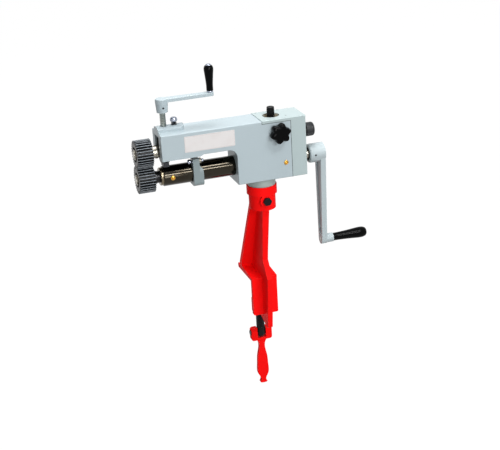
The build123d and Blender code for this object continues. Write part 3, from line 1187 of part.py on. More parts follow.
with BuildPart() as crank_grip:
    with BuildSketch(side_plane(x=grip_foot_x + FACE_GAP, z=grip_axis_z)):
        with BuildLine():
            swell = Spline(
                (0, GRIP_INNER_RADIUS),
                (GRIP_LENGTH * 0.45, (GRIP_INNER_RADIUS + GRIP_RADIUS) / 2 - 0.3),
                (GRIP_LENGTH * 0.82, GRIP_RADIUS),
                (GRIP_LENGTH, GRIP_RADIUS * 0.42),
                tangents=((1, 0.02), (0, -1)),
            )
            Polyline(swell @ 1, (GRIP_LENGTH, 0), (0, 0), (0, GRIP_INNER_RADIUS))
        make_face()
    revolve(axis=shaft_axis(grip_axis_z))
    extrude(disc(shaft_plane(grip_foot_x + FACE_GAP, grip_axis_z), SPINDLE_RADIUS + LOOSE_FIT),
            amount=GRIP_LENGTH - 3, mode=Mode.SUBTRACT)
save(crank_grip, "crank_grip")

# ---- Adjusting screw with its nut, pressure pad, crank and turning grip -----------------------------------------
with BuildPart() as screw_nut:
    extrude(disc(level(CEILING_Z, SCREW_X), SCREW_NUT_RADIUS, SCREW_RADIUS + RUNNING_FIT),
            amount=SCREW_NUT_HEIGHT)
save(screw_nut, "screw_nut")

pad_floor_z = BLOCK_TOP_Z - PAD_HEIGHT
screw_foot_z = BLOCK_TOP_Z - PAD_HEIGHT / 2
with BuildPart() as screw_thrust_pad:
    with BuildSketch(side_plane(x=SCREW_X, z=pad_floor_z)):
        with BuildLine():
            ThreePointArc((-PAD_RADIUS, PAD_CROWN), (0, 0), (PAD_RADIUS, PAD_CROWN))
            Line((-PAD_RADIUS, PAD_CROWN), (-PAD_RADIUS, PAD_HEIGHT))
            Line((-PAD_RADIUS, PAD_HEIGHT), (PAD_RADIUS, PAD_HEIGHT))
            Line((PAD_RADIUS, PAD_HEIGHT), (PAD_RADIUS, PAD_CROWN))
        make_face()
        split(bisect_by=Plane.YZ)
    revolve(axis=Axis((SCREW_X, MID_Y, 0), (0, 0, 1)))
    extrude(disc(level(BLOCK_TOP_Z, SCREW_X), SCREW_RADIUS - 1), amount=-PAD_HEIGHT / 2,
            mode=Mode.SUBTRACT)
save(screw_thrust_pad, "screw_thrust_pad")

top_hub_z = CASTING_TOP_Z + TOP_HUB_RISE
top_hub_top_z = top_hub_z + TOP_HUB_HEIGHT
top_arm_z = top_hub_top_z - TOP_ARM_THICKNESS
top_grip_x = SCREW_X + TOP_CRANK_RADIUS
with BuildPart() as adjusting_screw:
    extrude(disc(level(screw_foot_z + PAD_HEIGHT, SCREW_X), SCREW_RADIUS),
            amount=top_hub_top_z - 2 - screw_foot_z - PAD_HEIGHT)
    extrude(disc(level(screw_foot_z + FACE_GAP / 3, SCREW_X), SCREW_RADIUS - 1 - RUNNING_FIT),
            amount=PAD_HEIGHT)
save(adjusting_screw, "adjusting_screw")

with BuildPart() as top_crank_arm:
    with BuildSketch(level(top_arm_z)):
        with Locations((SCREW_X, 0)):
            Circle(TOP_ARM_ROOT_WIDTH / 2)
        with Locations((top_grip_x, 0)):
            Circle(TOP_ARM_END_RADIUS)
        make_hull()
    extrude(amount=TOP_ARM_THICKNESS)
    with BuildSketch(side_plane()):
        with BuildLine():
            Polyline(
                (SCREW_X, top_hub_z),
                (SCREW_X + TOP_HUB_FOOT_RADIUS, top_hub_z),
                (SCREW_X + TOP_HUB_RADIUS, top_arm_z),
                (SCREW_X + TOP_HUB_RADIUS, top_hub_top_z),
                (SCREW_X, top_hub_top_z),
                close=True,
            )
        make_face()
    revolve(axis=Axis((SCREW_X, MID_Y, 0), (0, 0, 1)))
    fillet(top_crank_arm.faces().sort_by(Axis.Z)[-1].edges(), radius=1.5)
    extrude(disc(level(top_hub_z, SCREW_X), SCREW_RADIUS), amount=TOP_HUB_HEIGHT - 2,
            mode=Mode.SUBTRACT)
    extrude(disc(level(top_arm_z, top_grip_x), SPINDLE_RADIUS), amount=TOP_ARM_THICKNESS,
            mode=Mode.SUBTRACT)
    top_set_screw_z = (top_hub_z + top_arm_z) / 2
    extrude(disc(side_plane(MID_Y, SCREW_X, top_set_screw_z), SET_SCREW_RADIUS),
            amount=TOP_HUB_RADIUS, mode=Mode.SUBTRACT)
save(top_crank_arm, "top_crank_arm")

with BuildPart() as top_crank_set_screw:
    extrude(disc(side_plane(MID_Y - SCREW_RADIUS, SCREW_X, top_set_screw_z), SET_SCREW_RADIUS),
            amount=TOP_HUB_FOOT_RADIUS - SCREW_RADIUS - 0.5)
save(top_crank_set_screw, "top_crank_set_screw")

top_grip_z = top_hub_top_z + TOP_GRIP_GAP
with BuildPart() as top_grip_spindle:
    extrude(disc(level(top_arm_z, top_grip_x), SPINDLE_RADIUS),
            amount=top_grip_z + TOP_GRIP_LENGTH + FACE_GAP - top_arm_z)
    extrude(disc(level(top_hub_top_z, top_grip_x), SPINDLE_RADIUS + 2), amount=TOP_GRIP_GAP - FACE_GAP)
    # domed end that keeps the grip on
    extrude(disc(level(top_grip_z + TOP_GRIP_LENGTH + FACE_GAP, top_grip_x), DOME_RADIUS),
            amount=DOME_HEIGHT)
    fillet(top_grip_spindle.faces().sort_by(Axis.Z)[-1].edges(), radius=DOME_HEIGHT * 0.95)
save(top_grip_spindle, "top_grip_spindle")

with BuildPart() as top_grip:
    with BuildSketch(side_plane(x=top_grip_x, z=top_grip_z)):
        with BuildLine():
            swell = Spline(
                (TOP_GRIP_FOOT_RADIUS, 0),
                (TOP_GRIP_FOOT_RADIUS * 1.07, TOP_GRIP_LENGTH * 0.35),
                (TOP_GRIP_RADIUS, TOP_GRIP_LENGTH * 0.86),
                (DOME_RADIUS + 1, TOP_GRIP_LENGTH),
                tangents=((-0.1, 1), (-1, 0.2)),
            )
            Polyline(swell @ 1, (0, TOP_GRIP_LENGTH), (0, 0), swell @ 0)
        make_face()
    revolve(axis=Axis((top_grip_x, MID_Y, 0), (0, 0, 1)))
    extrude(disc(level(top_grip_z, top_grip_x), SPINDLE_RADIUS + LOOSE_FIT), amount=TOP_GRIP_LENGTH,
            mode=Mode.SUBTRACT)
save(top_grip, "top_grip")

# ---- Sheet stop on the tube --------------------------------------------------------------------------------
stop_screw_y = MID_Y + STOP_SCREW_Y
sheet_z = (UPPER_Z + LOWER_Z) / 2
stop_back_x = STOP_X + STOP_THICKNESS
with BuildPart() as sheet_stop:
    # ring round the tube, square below and round above, with a post for the screw
    with BuildSketch(shaft_plane(STOP_X, LOWER_Z)):
        Circle(STOP_HALF_WIDTH)
        with Locations((0, -STOP_DROP / 2)):
            Rectangle(2 * STOP_HALF_WIDTH, STOP_DROP)
    extrude(amount=STOP_THICKNESS)
    lower_corners = sheet_stop.edges().filter_by(Axis.X).group_by(Axis.Z)[0]
    fillet(lower_corners, radius=9.0)
    with BuildSketch(shaft_plane(STOP_X, LOWER_Z)):
        with Locations((-STOP_HALF_WIDTH, 0)):
            Rectangle(2 * (STOP_HALF_WIDTH + STOP_SCREW_Y), sheet_z - LOWER_Z + STOP_POST_RISE,
                      align=(Align.MIN, Align.MIN))
    extrude(amount=STOP_POST_WIDTH)
    # shoulder that slopes away behind the post
    extrude(
        face_of(
            side_plane(MID_Y + STOP_HALF_WIDTH),
            [
                (STOP_X + STOP_POST_WIDTH, LOWER_Z + STOP_HALF_WIDTH),
                (STOP_X + STOP_POST_WIDTH, LOWER_Z + STOP_SHOULDER),
                (stop_back_x, LOWER_Z + STOP_SHOULDER - STOP_SLOPE),
                (stop_back_x, LOWER_Z + STOP_HALF_WIDTH),
            ],
        ),
        amount=2 * STOP_HALF_WIDTH,
        mode=Mode.SUBTRACT,
    )
    extrude(disc(shaft_plane(STOP_X, LOWER_Z), TUBE_RADIUS + RUNNING_FIT), amount=STOP_THICKNESS,
            mode=Mode.SUBTRACT)
    screw_line = Plane(origin=(STOP_X, stop_screw_y, sheet_z), x_dir=(0, 1, 0), z_dir=(1, 0, 0))
    extrude(disc(screw_line, STOP_SCREW_RADIUS + RUNNING_FIT), amount=STOP_THICKNESS,
            mode=Mode.SUBTRACT)
    set_line = level(LOWER_Z - STOP_DROP, STOP_X + STOP_THICKNESS * 0.4)
    extrude(disc(set_line, SET_SCREW_RADIUS + 1), amount=STOP_DROP - TUBE_RADIUS + 1,
            mode=Mode.SUBTRACT)
save(sheet_stop, "sheet_stop")

with BuildPart() as stop_set_screw:
    extrude(disc(set_line.offset(-1.5), SET_SCREW_RADIUS + 1),
            amount=STOP_DROP - TUBE_RADIUS + 1.5)
save(stop_set_screw, "stop_set_screw")

with BuildPart() as stop_screw:
    extrude(disc(screw_line.offset(-STOP_SCREW_REACH), STOP_SCREW_HEAD_RADIUS), amount=-4)
    chamfer(stop_screw.faces().sort_by(Axis.X)[0].edges(), length=1.0)
    extrude(disc(screw_line.offset(-STOP_SCREW_REACH), STOP_SCREW_RADIUS),
            amount=STOP_SCREW_REACH + STOP_THICKNESS + 3)
save(stop_screw, "stop_screw")

with BuildPart() as stop_nut:
    extrude(hexagon(screw_line.offset(STOP_POST_WIDTH), STOP_NUT_FLATS,
                    STOP_SCREW_RADIUS + RUNNING_FIT), amount=STOP_NUT_FLATS / 2)
save(stop_nut, "stop_nut")
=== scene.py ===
"""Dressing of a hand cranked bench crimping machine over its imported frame.

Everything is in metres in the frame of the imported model: +Z up, the shafts along +X from the
rollers to the crank, and the operator at -Y.  Each sub-assembly is a class that reads where its
pieces sit from the frame, builds the finer ones and gives every piece its finish.
"""

import json
import logging
import math
from collections.abc import Sequence
from dataclasses import dataclass, field
from enum import Enum
from functools import cache

import bmesh
import bpy
from mathutils import Matrix, Vector

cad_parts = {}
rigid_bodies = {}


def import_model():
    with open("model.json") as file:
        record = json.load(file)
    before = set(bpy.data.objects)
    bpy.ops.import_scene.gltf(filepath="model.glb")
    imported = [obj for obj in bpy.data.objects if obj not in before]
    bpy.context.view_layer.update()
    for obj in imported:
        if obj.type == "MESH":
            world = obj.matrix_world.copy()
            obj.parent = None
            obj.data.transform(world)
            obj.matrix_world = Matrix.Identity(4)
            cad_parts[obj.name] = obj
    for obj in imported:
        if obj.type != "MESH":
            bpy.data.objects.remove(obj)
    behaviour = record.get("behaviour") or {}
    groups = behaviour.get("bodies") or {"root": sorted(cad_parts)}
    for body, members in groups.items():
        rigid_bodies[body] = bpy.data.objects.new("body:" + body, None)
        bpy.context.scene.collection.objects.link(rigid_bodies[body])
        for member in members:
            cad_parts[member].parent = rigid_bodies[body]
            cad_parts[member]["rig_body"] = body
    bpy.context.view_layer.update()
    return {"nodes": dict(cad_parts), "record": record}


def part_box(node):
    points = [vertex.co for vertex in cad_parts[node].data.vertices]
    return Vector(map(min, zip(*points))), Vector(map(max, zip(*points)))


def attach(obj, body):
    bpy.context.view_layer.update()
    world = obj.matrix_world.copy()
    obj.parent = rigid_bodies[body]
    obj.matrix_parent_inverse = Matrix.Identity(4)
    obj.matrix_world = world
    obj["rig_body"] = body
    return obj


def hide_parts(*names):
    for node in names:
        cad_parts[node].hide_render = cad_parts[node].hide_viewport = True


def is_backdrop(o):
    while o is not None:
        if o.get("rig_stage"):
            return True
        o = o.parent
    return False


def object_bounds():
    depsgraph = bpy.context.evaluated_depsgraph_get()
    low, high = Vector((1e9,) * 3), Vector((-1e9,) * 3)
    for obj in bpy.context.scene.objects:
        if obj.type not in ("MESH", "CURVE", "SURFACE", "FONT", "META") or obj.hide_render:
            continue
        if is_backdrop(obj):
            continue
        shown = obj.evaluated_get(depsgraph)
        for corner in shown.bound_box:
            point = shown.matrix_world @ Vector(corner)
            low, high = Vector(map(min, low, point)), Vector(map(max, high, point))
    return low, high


log = logging.getLogger("crimper")

MM = 0.001
Point = tuple[float, float]
Spot = tuple[float, float, float]
Colour = tuple[float, float, float]
Setting = str | bool | int


# ---- Node trees --------------------------------------------------------------------------
class Wire:
    """A value socket of a shader tree that takes part in arithmetic."""

    def __init__(self, shader: "Shader", socket: bpy.types.NodeSocket) -> None:
        """Wraps a socket.

        Args:
            shader: The tree that new Math nodes are added to.
            socket: The output socket.
        """
        self.shader = shader
        self.socket = socket

    def _math(self, operation: str, *values: "Wire | float", clamp: bool = False) -> "Wire":
        """Adds one Math node.

        Args:
            operation: Blender's name of the operation.
            values: Its operands in order.
            clamp: Whether the result is held between 0 and 1.

        Returns:
            The result.
        """
        settings = {"operation": operation, "use_clamp": clamp}
        return self.shader.wire("ShaderNodeMath", settings, dict(enumerate(values)))

    def __add__(self, other: "Wire | float") -> "Wire":
        """Sum."""
        return self._math("ADD", self, other)

    __radd__ = __add__

    def __sub__(self, other: "Wire | float") -> "Wire":
        """Difference."""
        return self._math("SUBTRACT", self, other)

    def __rsub__(self, other: "Wire | float") -> "Wire":
        """Difference from a number."""
        return self._math("SUBTRACT", other, self)

    def __mul__(self, other: "Wire | float") -> "Wire":
        """Product."""
        return self._math("MULTIPLY", self, other)

    __rmul__ = __mul__

    def __pow__(self, other: float) -> "Wire":
        """Power."""
        return self._math("POWER", self, other)

    def held(self) -> "Wire":
        """The value held between 0 and 1."""
        return self._math("ADD", self, 0.0, clamp=True)

    def step(self, low: float, high: float) -> "Wire":
        """A smooth step.

        Args:
            low: Value that gives 0.
            high: Value that gives 1.

        Returns:
            The step, from 0 to 1.
        """
        settings = {"interpolation_type": "SMOOTHSTEP"}
        return self.shader.wire(
            "ShaderNodeMapRange", settings, {"Value": self, "From Min": low, "From Max": high}, "Result"
        )


class Tree:
    """A node tree with a single method that makes its nodes."""

    def __init__(self, tree: bpy.types.NodeTree) -> None:
        """Takes over a tree.

        Args:
            tree: The tree that nodes are added to.
        """
        self.tree = tree

    def node(
        self, kind: str, settings: dict[str, Setting] | None = None, inputs: dict | None = None
    ) -> bpy.types.Node:
        """Makes a node.

        Args:
            kind: Blender's type name.
            settings: Properties of the node, which are set first.
            inputs: Values or links of its sockets, by name or number.

        Returns:
            The node.
        """
        made = self.tree.nodes.new(kind)
        for key, value in (settings or {}).items():
            setattr(made, key, value)
        for key, value in (inputs or {}).items():
            source = value.socket if isinstance(value, Wire) else value
            if isinstance(source, bpy.types.NodeSocket):
                self.tree.links.new(source, made.inputs[key])
            else:
                made.inputs[key].default_value = source
        return made


class Shader(Tree):
    """The node tree of one material or world."""

    def __init__(self, name: str, owner: bpy.types.ID | None = None) -> None:
        """Starts an empty node tree.

        Args:
            name: Name of a new material.
            owner: What the tree belongs to instead, such as a world.
        """
        self.owner = owner or bpy.data.materials.new(name)
        self.owner.use_nodes = True
        super().__init__(self.owner.node_tree)
        self.tree.nodes.clear()

    def wire(
        self,
        kind: str,
        settings: dict[str, Setting] | None = None,
        inputs: dict | None = None,
        output: str | int = 0,
    ) -> Wire:
        """Makes a node and wraps one of its outputs.

        Args:
            kind: Blender's type name.
            settings: Properties of the node.
            inputs: Values or links of its sockets.
            output: Name or number of the output.

        Returns:
            The wrapped output.
        """
        return Wire(self, self.node(kind, settings, inputs).outputs[output])

    def place(self) -> bpy.types.NodeSocket:
        """Object coordinates."""
        return self.node("ShaderNodeTexCoord").outputs["Object"]

    def heading(self) -> bpy.types.NodeSocket:
        """Direction in a world's tree."""
        return self.node("ShaderNodeTexCoord").outputs["Generated"]

    def shown(self) -> Wire:
        """1 where the camera, a reflection or a look through glass meets the surface."""
        path = self.node("ShaderNodeLightPath")
        rays = [Wire(self, path.outputs[f"Is {kind} Ray"]) for kind in ("Camera", "Glossy", "Transmission")]
        return (rays[0] + rays[1] + rays[2]).held()

    def noise(self, scale: float, detail: float = 3.0, stretch: Sequence[float] = (1, 1, 1)) -> Wire:
        """Noise on Object coordinates.

        Args:
            scale: Features per metre.
            detail: Octaves.
            stretch: Factors of the coordinates.

        Returns:
            The noise, around 0.5.
        """
        mapped = self.node(
            "ShaderNodeMapping", None, {"Vector": self.place(), "Scale": tuple(stretch)}
        ).outputs[0]
        return self.wire(
            "ShaderNodeTexNoise", None, {"Vector": mapped, "Scale": scale, "Detail": detail}
        )

    def axis(self, letter: str) -> Wire:
        """One Object coordinate.

        Args:
            letter: X, Y or Z.

        Returns:
            The coordinate, in metres.
        """
        return self.wire("ShaderNodeSeparateXYZ", None, {0: self.place()}, letter)

    def edges(self, radius: float) -> Wire:
        """Mask of convex and concave edges, from the rounded against the true normal.

        Args:
            radius: How far from an edge it reaches, in metres.

        Returns:
            0 on a face, rising to 1 at an edge.
        """
        rounded = self.node("ShaderNodeBevel", {"samples": 4}, {"Radius": radius}).outputs[0]
        true = self.node("ShaderNodeNewGeometry").outputs["Normal"]
        dot = self.wire(
            "ShaderNodeVectorMath", {"operation": "DOT_PRODUCT"}, {0: rounded, 1: true}, "Value"
        )
        return ((1.0 - dot) * 4.0).held()

    def blend(self, factor: Wire | float, low: object, high: object) -> bpy.types.NodeSocket:
        """Mix of two colours.

        Args:
            factor: 0 gives the first, 1 the second.
            low: First colour or link.
            high: Second colour or link.

        Returns:
            The mixed colour's socket.
        """
        pair = [(*c, 1.0) if isinstance(c, tuple) and len(c) == 3 else c for c in (low, high)]
        mixed = self.node(
            "ShaderNodeMix", {"data_type": "RGBA"}, {0: factor, 6: pair[0], 7: pair[1]}
        )
        return mixed.outputs[2]

    def relief(self, height: Wire, strength: float, depth: float) -> bpy.types.NodeSocket:
        """Bump from a height.

        Args:
            height: Height, from 0 to 1.
            strength: Strength of the bump.
            depth: Height of 1, in metres.

        Returns:
            The normal's socket.
        """
        return self.node(
            "ShaderNodeBump", None, {"Strength": strength, "Distance": depth, "Height": height}
        ).outputs[0]

    def close(self, constants: dict[str, object], varying: dict[str, object]) -> bpy.types.Material:
        """Ends the tree in a Principled shader.

        Args:
            constants: Values that are the same all over.
            varying: Links that change over the surface.

        Returns:
            The material.
        """
        surface = self.node("ShaderNodeBsdfPrincipled", None, {**constants, **varying})
        self.node("ShaderNodeOutputMaterial", None, {"Surface": surface.outputs[0]})
        return self.owner


# ---- Finishes ---------------------------------------------------------------------------------
@dataclass(frozen=True)
class Enamel:
    """Sprayed machine enamel over cast metal."""

    name: str
    colour: Colour
    thin: Colour
    roughness: float = 0.36
    sheen_level: float = 0.5
    peel: float = 0.12
    cast: float = 0.0

    def material(self) -> bpy.types.Material:
        """Builds the finish."""
        shader = Shader(self.name)
        cloud = shader.noise(16.0, 4.0)
        grain = shader.noise(420.0, 2.0)
        orange_peel = shader.noise(1500.0, 1.0)
        edge = shader.edges(0.9 * MM)
        worn = (edge * shader.noise(260.0, 3.0).step(0.46, 0.7)).held()
        tone = shader.blend(
            (cloud - 0.5) * 0.5 + 0.5,
            tuple(c * 0.95 for c in self.colour),
            tuple(min(1.0, c * 1.05) for c in self.colour),
        )
        colour = shader.blend(worn * 0.75, tone, self.thin)
        rough = (cloud - 0.5) * 0.16 + (grain - 0.5) * 0.08 + self.roughness
        height = orange_peel * self.peel + grain * self.cast + cloud * self.cast
        return shader.close(
            {"Specular IOR Level": self.sheen_level, "Coat Roughness": 0.12},
            {
                "Base Color": colour,
                "Roughness": rough,
                "Normal": shader.relief(height, 0.5, 0.25 * MM),
            },
        )


class Turned(Enum):
    """Axis round which a metal piece was turned."""

    ALONG_X = "X"
    ALONG_Z = "Z"
    NONE = ""


@dataclass(frozen=True)
class Metal:
    """Bare, oiled or plated metal with the marks of its machining."""

    name: str
    colour: Colour
    stain: Colour
    edge: Colour
    roughness: float = 0.25
    turned: Turned = Turned.NONE
    marks: float = 0.25
    stained: float = 0.35
    worn: float = 0.5
    metallic: float = 1.0
    sheen_level: float = 0.5

    def material(self) -> bpy.types.Material:
        """Builds the finish."""
        shader = Shader(self.name)
        blotch = shader.noise(70.0, 5.0)
        fine = shader.noise(900.0, 2.0)
        if self.turned is Turned.NONE:
            lines = shader.noise(1400.0, 2.0)
        else:
            stretch = {"X": (26.0, 1.0, 1.0), "Z": (1.0, 1.0, 26.0)}[self.turned.value]
            lines = shader.noise(90.0, 3.0, stretch)
        edge = shader.edges(0.6 * MM)
        stain = blotch.step(0.42, 0.78) * self.stained
        colour = shader.blend(stain, self.colour, self.stain)
        colour = shader.blend((edge * (fine * 0.5 + 0.6)).held() * self.worn, colour, self.edge)
        rough = (lines - 0.5) * self.marks + (blotch - 0.5) * 0.2 + self.roughness
        return shader.close(
            {"Metallic": self.metallic, "Specular IOR Level": self.sheen_level},
            {
                "Base Color": colour,
                "Roughness": rough.held(),
                "Normal": shader.relief(lines, 0.35, 0.06 * MM),
            },
        )


@dataclass(frozen=True)
class Toothed:
    """Black oxide on a toothed roller, with a painted highlight on the rubbed crests and painted shade
    between the teeth.
    """

    name: str
    axis: Point
    ends: Point
    root: float
    tip: float
    # Painted shade: colour at the roots of the teeth, darker than the oxide.
    root_shade: Colour = (0.002, 0.0024, 0.003)
    black: Colour = (0.008, 0.0095, 0.011)
    # Crest colour: partly bare rubbed metal, partly a painted highlight.
    bare: Colour = (0.24, 0.27, 0.30)
    roughness: float = 0.3

    def material(self) -> bpy.types.Material:
        """Builds the finish."""
        shader = Shader(self.name)
        across = shader.axis("Y") - self.axis[0]
        up = shader.axis("Z") - self.axis[1]
        radius = (across * across + up * up) ** 0.5
        flank = radius.step(self.root * MM, (self.tip - 1.5) * MM)
        crest = radius.step((self.tip - 1.1) * MM, (self.tip - 0.15) * MM)
        along = shader.axis("X")
        inside = (along - self.ends[0]).step(0.0, 0.5 * MM) * (self.ends[1] - along).step(0.0, 0.5 * MM)
        # Crests lightened: partly rubbed wear, partly a painted highlight.
        rubbed_and_highlight = (shader.noise(340.0, 3.0) * 0.6 + 0.35) * crest * inside
        grain = shader.noise(1500.0, 2.0)
        # Darker towards the roots of the teeth: painted shade.
        colour = shader.blend(flank, self.root_shade, self.black)
        colour = shader.blend((rubbed_and_highlight + shader.edges(0.35 * MM) * 0.25 * flank).held(), colour, self.bare)
        return shader.close(
            {"Specular IOR Level": 0.2},
            {
                "Base Color": colour,
                "Metallic": rubbed_and_highlight * 0.2,
                "Roughness": grain * 0.16 + (self.roughness - 0.06),
                "Normal": shader.relief(grain, 0.25, 0.05 * MM),
            },
        )


@dataclass(frozen=True)
class Moulding:
    """Glossy black moulded plastic with handling marks."""

    name: str
    colour: Colour = (0.0006, 0.0008, 0.001)
    dust: Colour = (0.004, 0.004, 0.005)
    roughness: float = 0.08
    sheen_level: float = 0.06

    def material(self) -> bpy.types.Material:
        """Builds the finish."""
        shader = Shader(self.name)
        smear = shader.noise(90.0, 4.0, (1.0, 1.6, 0.6))
        specks = shader.noise(2600.0, 1.0)
        edge = shader.edges(0.5 * MM)
        dusty = (smear.step(0.52, 0.8) * 0.35 + edge * 0.35).held()
        rough = (smear - 0.5) * 0.25 + self.roughness
        return shader.close(
            {"Specular IOR Level": self.sheen_level},
            {
                "Base Color": shader.blend(dusty, self.colour, self.dust),
                "Roughness": rough.held(),
                "Normal": shader.relief(specks, 0.12, 0.05 * MM),
            },
        )


@dataclass(frozen=True)
class Film:
    """Bare printed film of a rating plate, with nothing printed on it."""

    name: str
    colour: Colour
    aged: Colour

    def material(self) -> bpy.types.Material:
        """Builds the finish."""
        shader = Shader(self.name)
        cloud = shader.noise(55.0, 4.0)
        weave = shader.noise(2200.0, 1.0)
        edge = shader.edges(0.8 * MM)
        colour = shader.blend(cloud.step(0.4, 0.8) * 0.5 + edge * 0.3, self.colour, self.aged)
        return shader.close(
            {"Specular IOR Level": 0.45},
            {
                "Base Color": colour,
                "Roughness": (cloud - 0.5) * 0.2 + 0.42,
                "Normal": shader.relief(weave, 0.2, 0.04 * MM),
            },
        )


@dataclass(frozen=True)
class Ink:
    """Matt stamped ink."""

    name: str
    colour: Colour

    def material(self) -> bpy.types.Material:
        """Builds the finish."""
        shader = Shader(self.name)
        patchy = shader.noise(1400.0, 2.0)
        colour = shader.blend(
            patchy.step(0.45, 0.8) * 0.5, self.colour, tuple(c * 4 for c in self.colour)
        )
        return shader.close({}, {"Base Color": colour, "Roughness": patchy * 0.2 + 0.5})


GREY = Enamel("grey_enamel", (0.375, 0.445, 0.475), (0.62, 0.66, 0.66), sheen_level=0.35)
# Darker copy of the grey enamel for the sheet stop: painted shade under the arm.
GREY_PAINTED_SHADE_STOP = Enamel("grey_enamel_painted_shade_on_stop", (0.215, 0.265, 0.275), (0.45, 0.5, 0.5), sheen_level=0.3)
GREY_COVER = Enamel("cover_enamel", (0.37, 0.445, 0.45), (0.62, 0.66, 0.64), sheen_level=0.35)
GREY_CAST = Enamel(
    "grey_enamel_on_casting",
    (0.40, 0.465, 0.485),
    (0.58, 0.62, 0.62),
    roughness=0.42,
    sheen_level=0.35,
    peel=0.1,
    cast=0.5,
)
# Darker copy of the grey enamel for the spigot: painted shade under the gearbox.
GREY_PAINTED_SHADE_SPIGOT = Enamel(
    "grey_enamel_painted_shade_on_spigot",
    (0.30, 0.355, 0.335),
    (0.5, 0.54, 0.54),
    roughness=0.42,
    sheen_level=0.3,
    peel=0.1,
    cast=0.5,
)
RED_CAST = Enamel(
    "red_enamel_on_casting",
    (0.93, 0.006, 0.006),
    (0.90, 0.10, 0.09),
    roughness=0.45,
    sheen_level=0.03,
    peel=0.1,
    cast=0.5,
)
BLUED = Metal(
    "blued_steel",
    (0.005, 0.0055, 0.0065),
    (0.010, 0.008, 0.006),
    (0.05, 0.05, 0.056),
    roughness=0.3,
    worn=0.4,
    metallic=0.0,
    sheen_level=0.12,
)
OXIDE_TURNED = Metal(
    "black_oxide_turned",
    (0.025, 0.025, 0.026),
    (0.02, 0.014, 0.01),
    (0.15, 0.15, 0.15),
    roughness=0.3,
    turned=Turned.ALONG_X,
)
STEEL_X = Metal(
    "turned_steel_along_shaft",
    (0.30, 0.285, 0.245),
    (0.12, 0.09, 0.055),
    (0.5, 0.48, 0.44),
    roughness=0.26,
    turned=Turned.ALONG_X,
)
STEEL_Z = Metal(
    "turned_steel_along_screw",
    (0.24, 0.27, 0.255),
    (0.10, 0.09, 0.06),
    (0.5, 0.5, 0.46),
    roughness=0.22,
    turned=Turned.ALONG_Z,
)
STEEL = Metal("bright_steel", (0.30, 0.30, 0.29), (0.16, 0.14, 0.11), (0.6, 0.6, 0.58), roughness=0.27)
TUBE_STEEL = Metal(
    "ground_tube_steel",
    (0.034, 0.030, 0.023),
    (0.018, 0.013, 0.008),
    (0.3, 0.27, 0.2),
    roughness=0.11,
    turned=Turned.ALONG_X,
    marks=0.08,
    stained=0.5,
)
CHROME = Metal(
    "chrome",
    (0.34, 0.37, 0.44),
    (0.22, 0.24, 0.30),
    (0.8, 0.8, 0.8),
    roughness=0.07,
    marks=0.05,
    stained=0.2,
)
BRASS = Metal("brass", (0.50, 0.27, 0.045), (0.24, 0.11, 0.02), (0.75, 0.5, 0.16), roughness=0.22, marks=0.1)
BRASS_RING = Metal(
    "brassy_thrust_ring",
    (0.15, 0.125, 0.085),
    (0.07, 0.05, 0.03),
    (0.42, 0.37, 0.28),
    roughness=0.22,
    turned=Turned.ALONG_X,
    marks=0.12,
)
BRONZE = Metal("bearing_bronze", (0.40, 0.24, 0.09), (0.2, 0.11, 0.04), (0.6, 0.42, 0.2), roughness=0.33)
IRON = Metal(
    "machined_iron", (0.035, 0.037, 0.042), (0.02, 0.016, 0.012), (0.15, 0.15, 0.16), roughness=0.42
)
PLASTIC = Moulding("black_moulding")
KNOB_PLASTIC = Moulding(
    "black_ridged_knob", (0.004, 0.0045, 0.005), (0.012, 0.012, 0.013), roughness=0.3, sheen_level=0.15
)
RUBBED_PLASTIC = Moulding(
    "black_knob", (0.010, 0.011, 0.013), (0.05, 0.052, 0.056), roughness=0.34, sheen_level=0.3
)
LABEL = Film("label_film", (0.63, 0.61, 0.605), (0.58, 0.54, 0.53))
BORDER = Ink("label_border", (0.42, 0.36, 0.36))
DIAL_INK = Ink("dial_ink", (0.02, 0.022, 0.024))
# Near black strip along the cover joint: the gap and painted shade under the proud cover.
SEAM_SHADE = Ink("seam_shadow", (0.015, 0.017, 0.016))

Finish = Enamel | Metal | Toothed | Moulding | Film | Ink


@cache
def dressed(finish: Finish) -> bpy.types.Material:
    """The finish's material, made once."""
    return finish.material()


# ---- Meshes -----------------------------------------------------------------------------------
def object_of(name: str, mesh: bpy.types.Mesh) -> bpy.types.Object:
    """A new object in the scene that shows a mesh.

    Args:
        name: The piece's name.
        mesh: Its mesh.

    Returns:
        The object, at the origin.
    """
    made = bpy.data.objects.new(name, mesh)
    bpy.context.scene.collection.objects.link(made)
    return made


def settle(mesh: bpy.types.Mesh, angle: float = 32.0) -> bpy.types.Mesh:
    """Smooth shading with sharp edges where faces meet at more than an angle.

    Args:
        mesh: The mesh, changed in place.
        angle: The angle, in degrees.

    Returns:
        The same mesh.
    """
    work = bmesh.new()
    work.from_mesh(mesh)
    for face in work.faces:
        face.smooth = True
    limit = math.radians(angle)
    for edge in work.edges:
        edge.smooth = len(edge.link_faces) == 2 and edge.calc_face_angle(0.0) < limit
    work.to_mesh(mesh)
    work.free()
    return mesh


def evaluated(thing: bpy.types.Object) -> bpy.types.Mesh:
    """Plain mesh of an object with its modifiers applied.

    Args:
        thing: The object.

    Returns:
        A new mesh.
    """
    bpy.context.view_layer.update()
    graph = bpy.context.evaluated_depsgraph_get()
    return bpy.data.meshes.new_from_object(thing.evaluated_get(graph))


def eased(outline: Sequence[Point], radius: float, steps: int = 3) -> list[Point]:
    """Outline with its inner corners rounded.

    Args:
        outline: Points of an open outline; its ends are kept.
        radius: Length taken off each side of a corner, less on short sides.
        steps: Segments in each rounding.

    Returns:
        The rounded outline.
    """
    made = [outline[0]]
    for before, corner, after in zip(outline, outline[1:], outline[2:]):
        here = Vector(corner)
        back, on = Vector(before) - here, Vector(after) - here
        cut = min(radius, back.length * 0.45, on.length * 0.45)
        start, end = here + back.normalized() * cut, here + on.normalized() * cut
        for step in range(steps + 1):
            t = step / steps
            made.append(tuple(start * (1 - t) ** 2 + here * 2 * t * (1 - t) + end * t**2))
    return made + [outline[-1]]


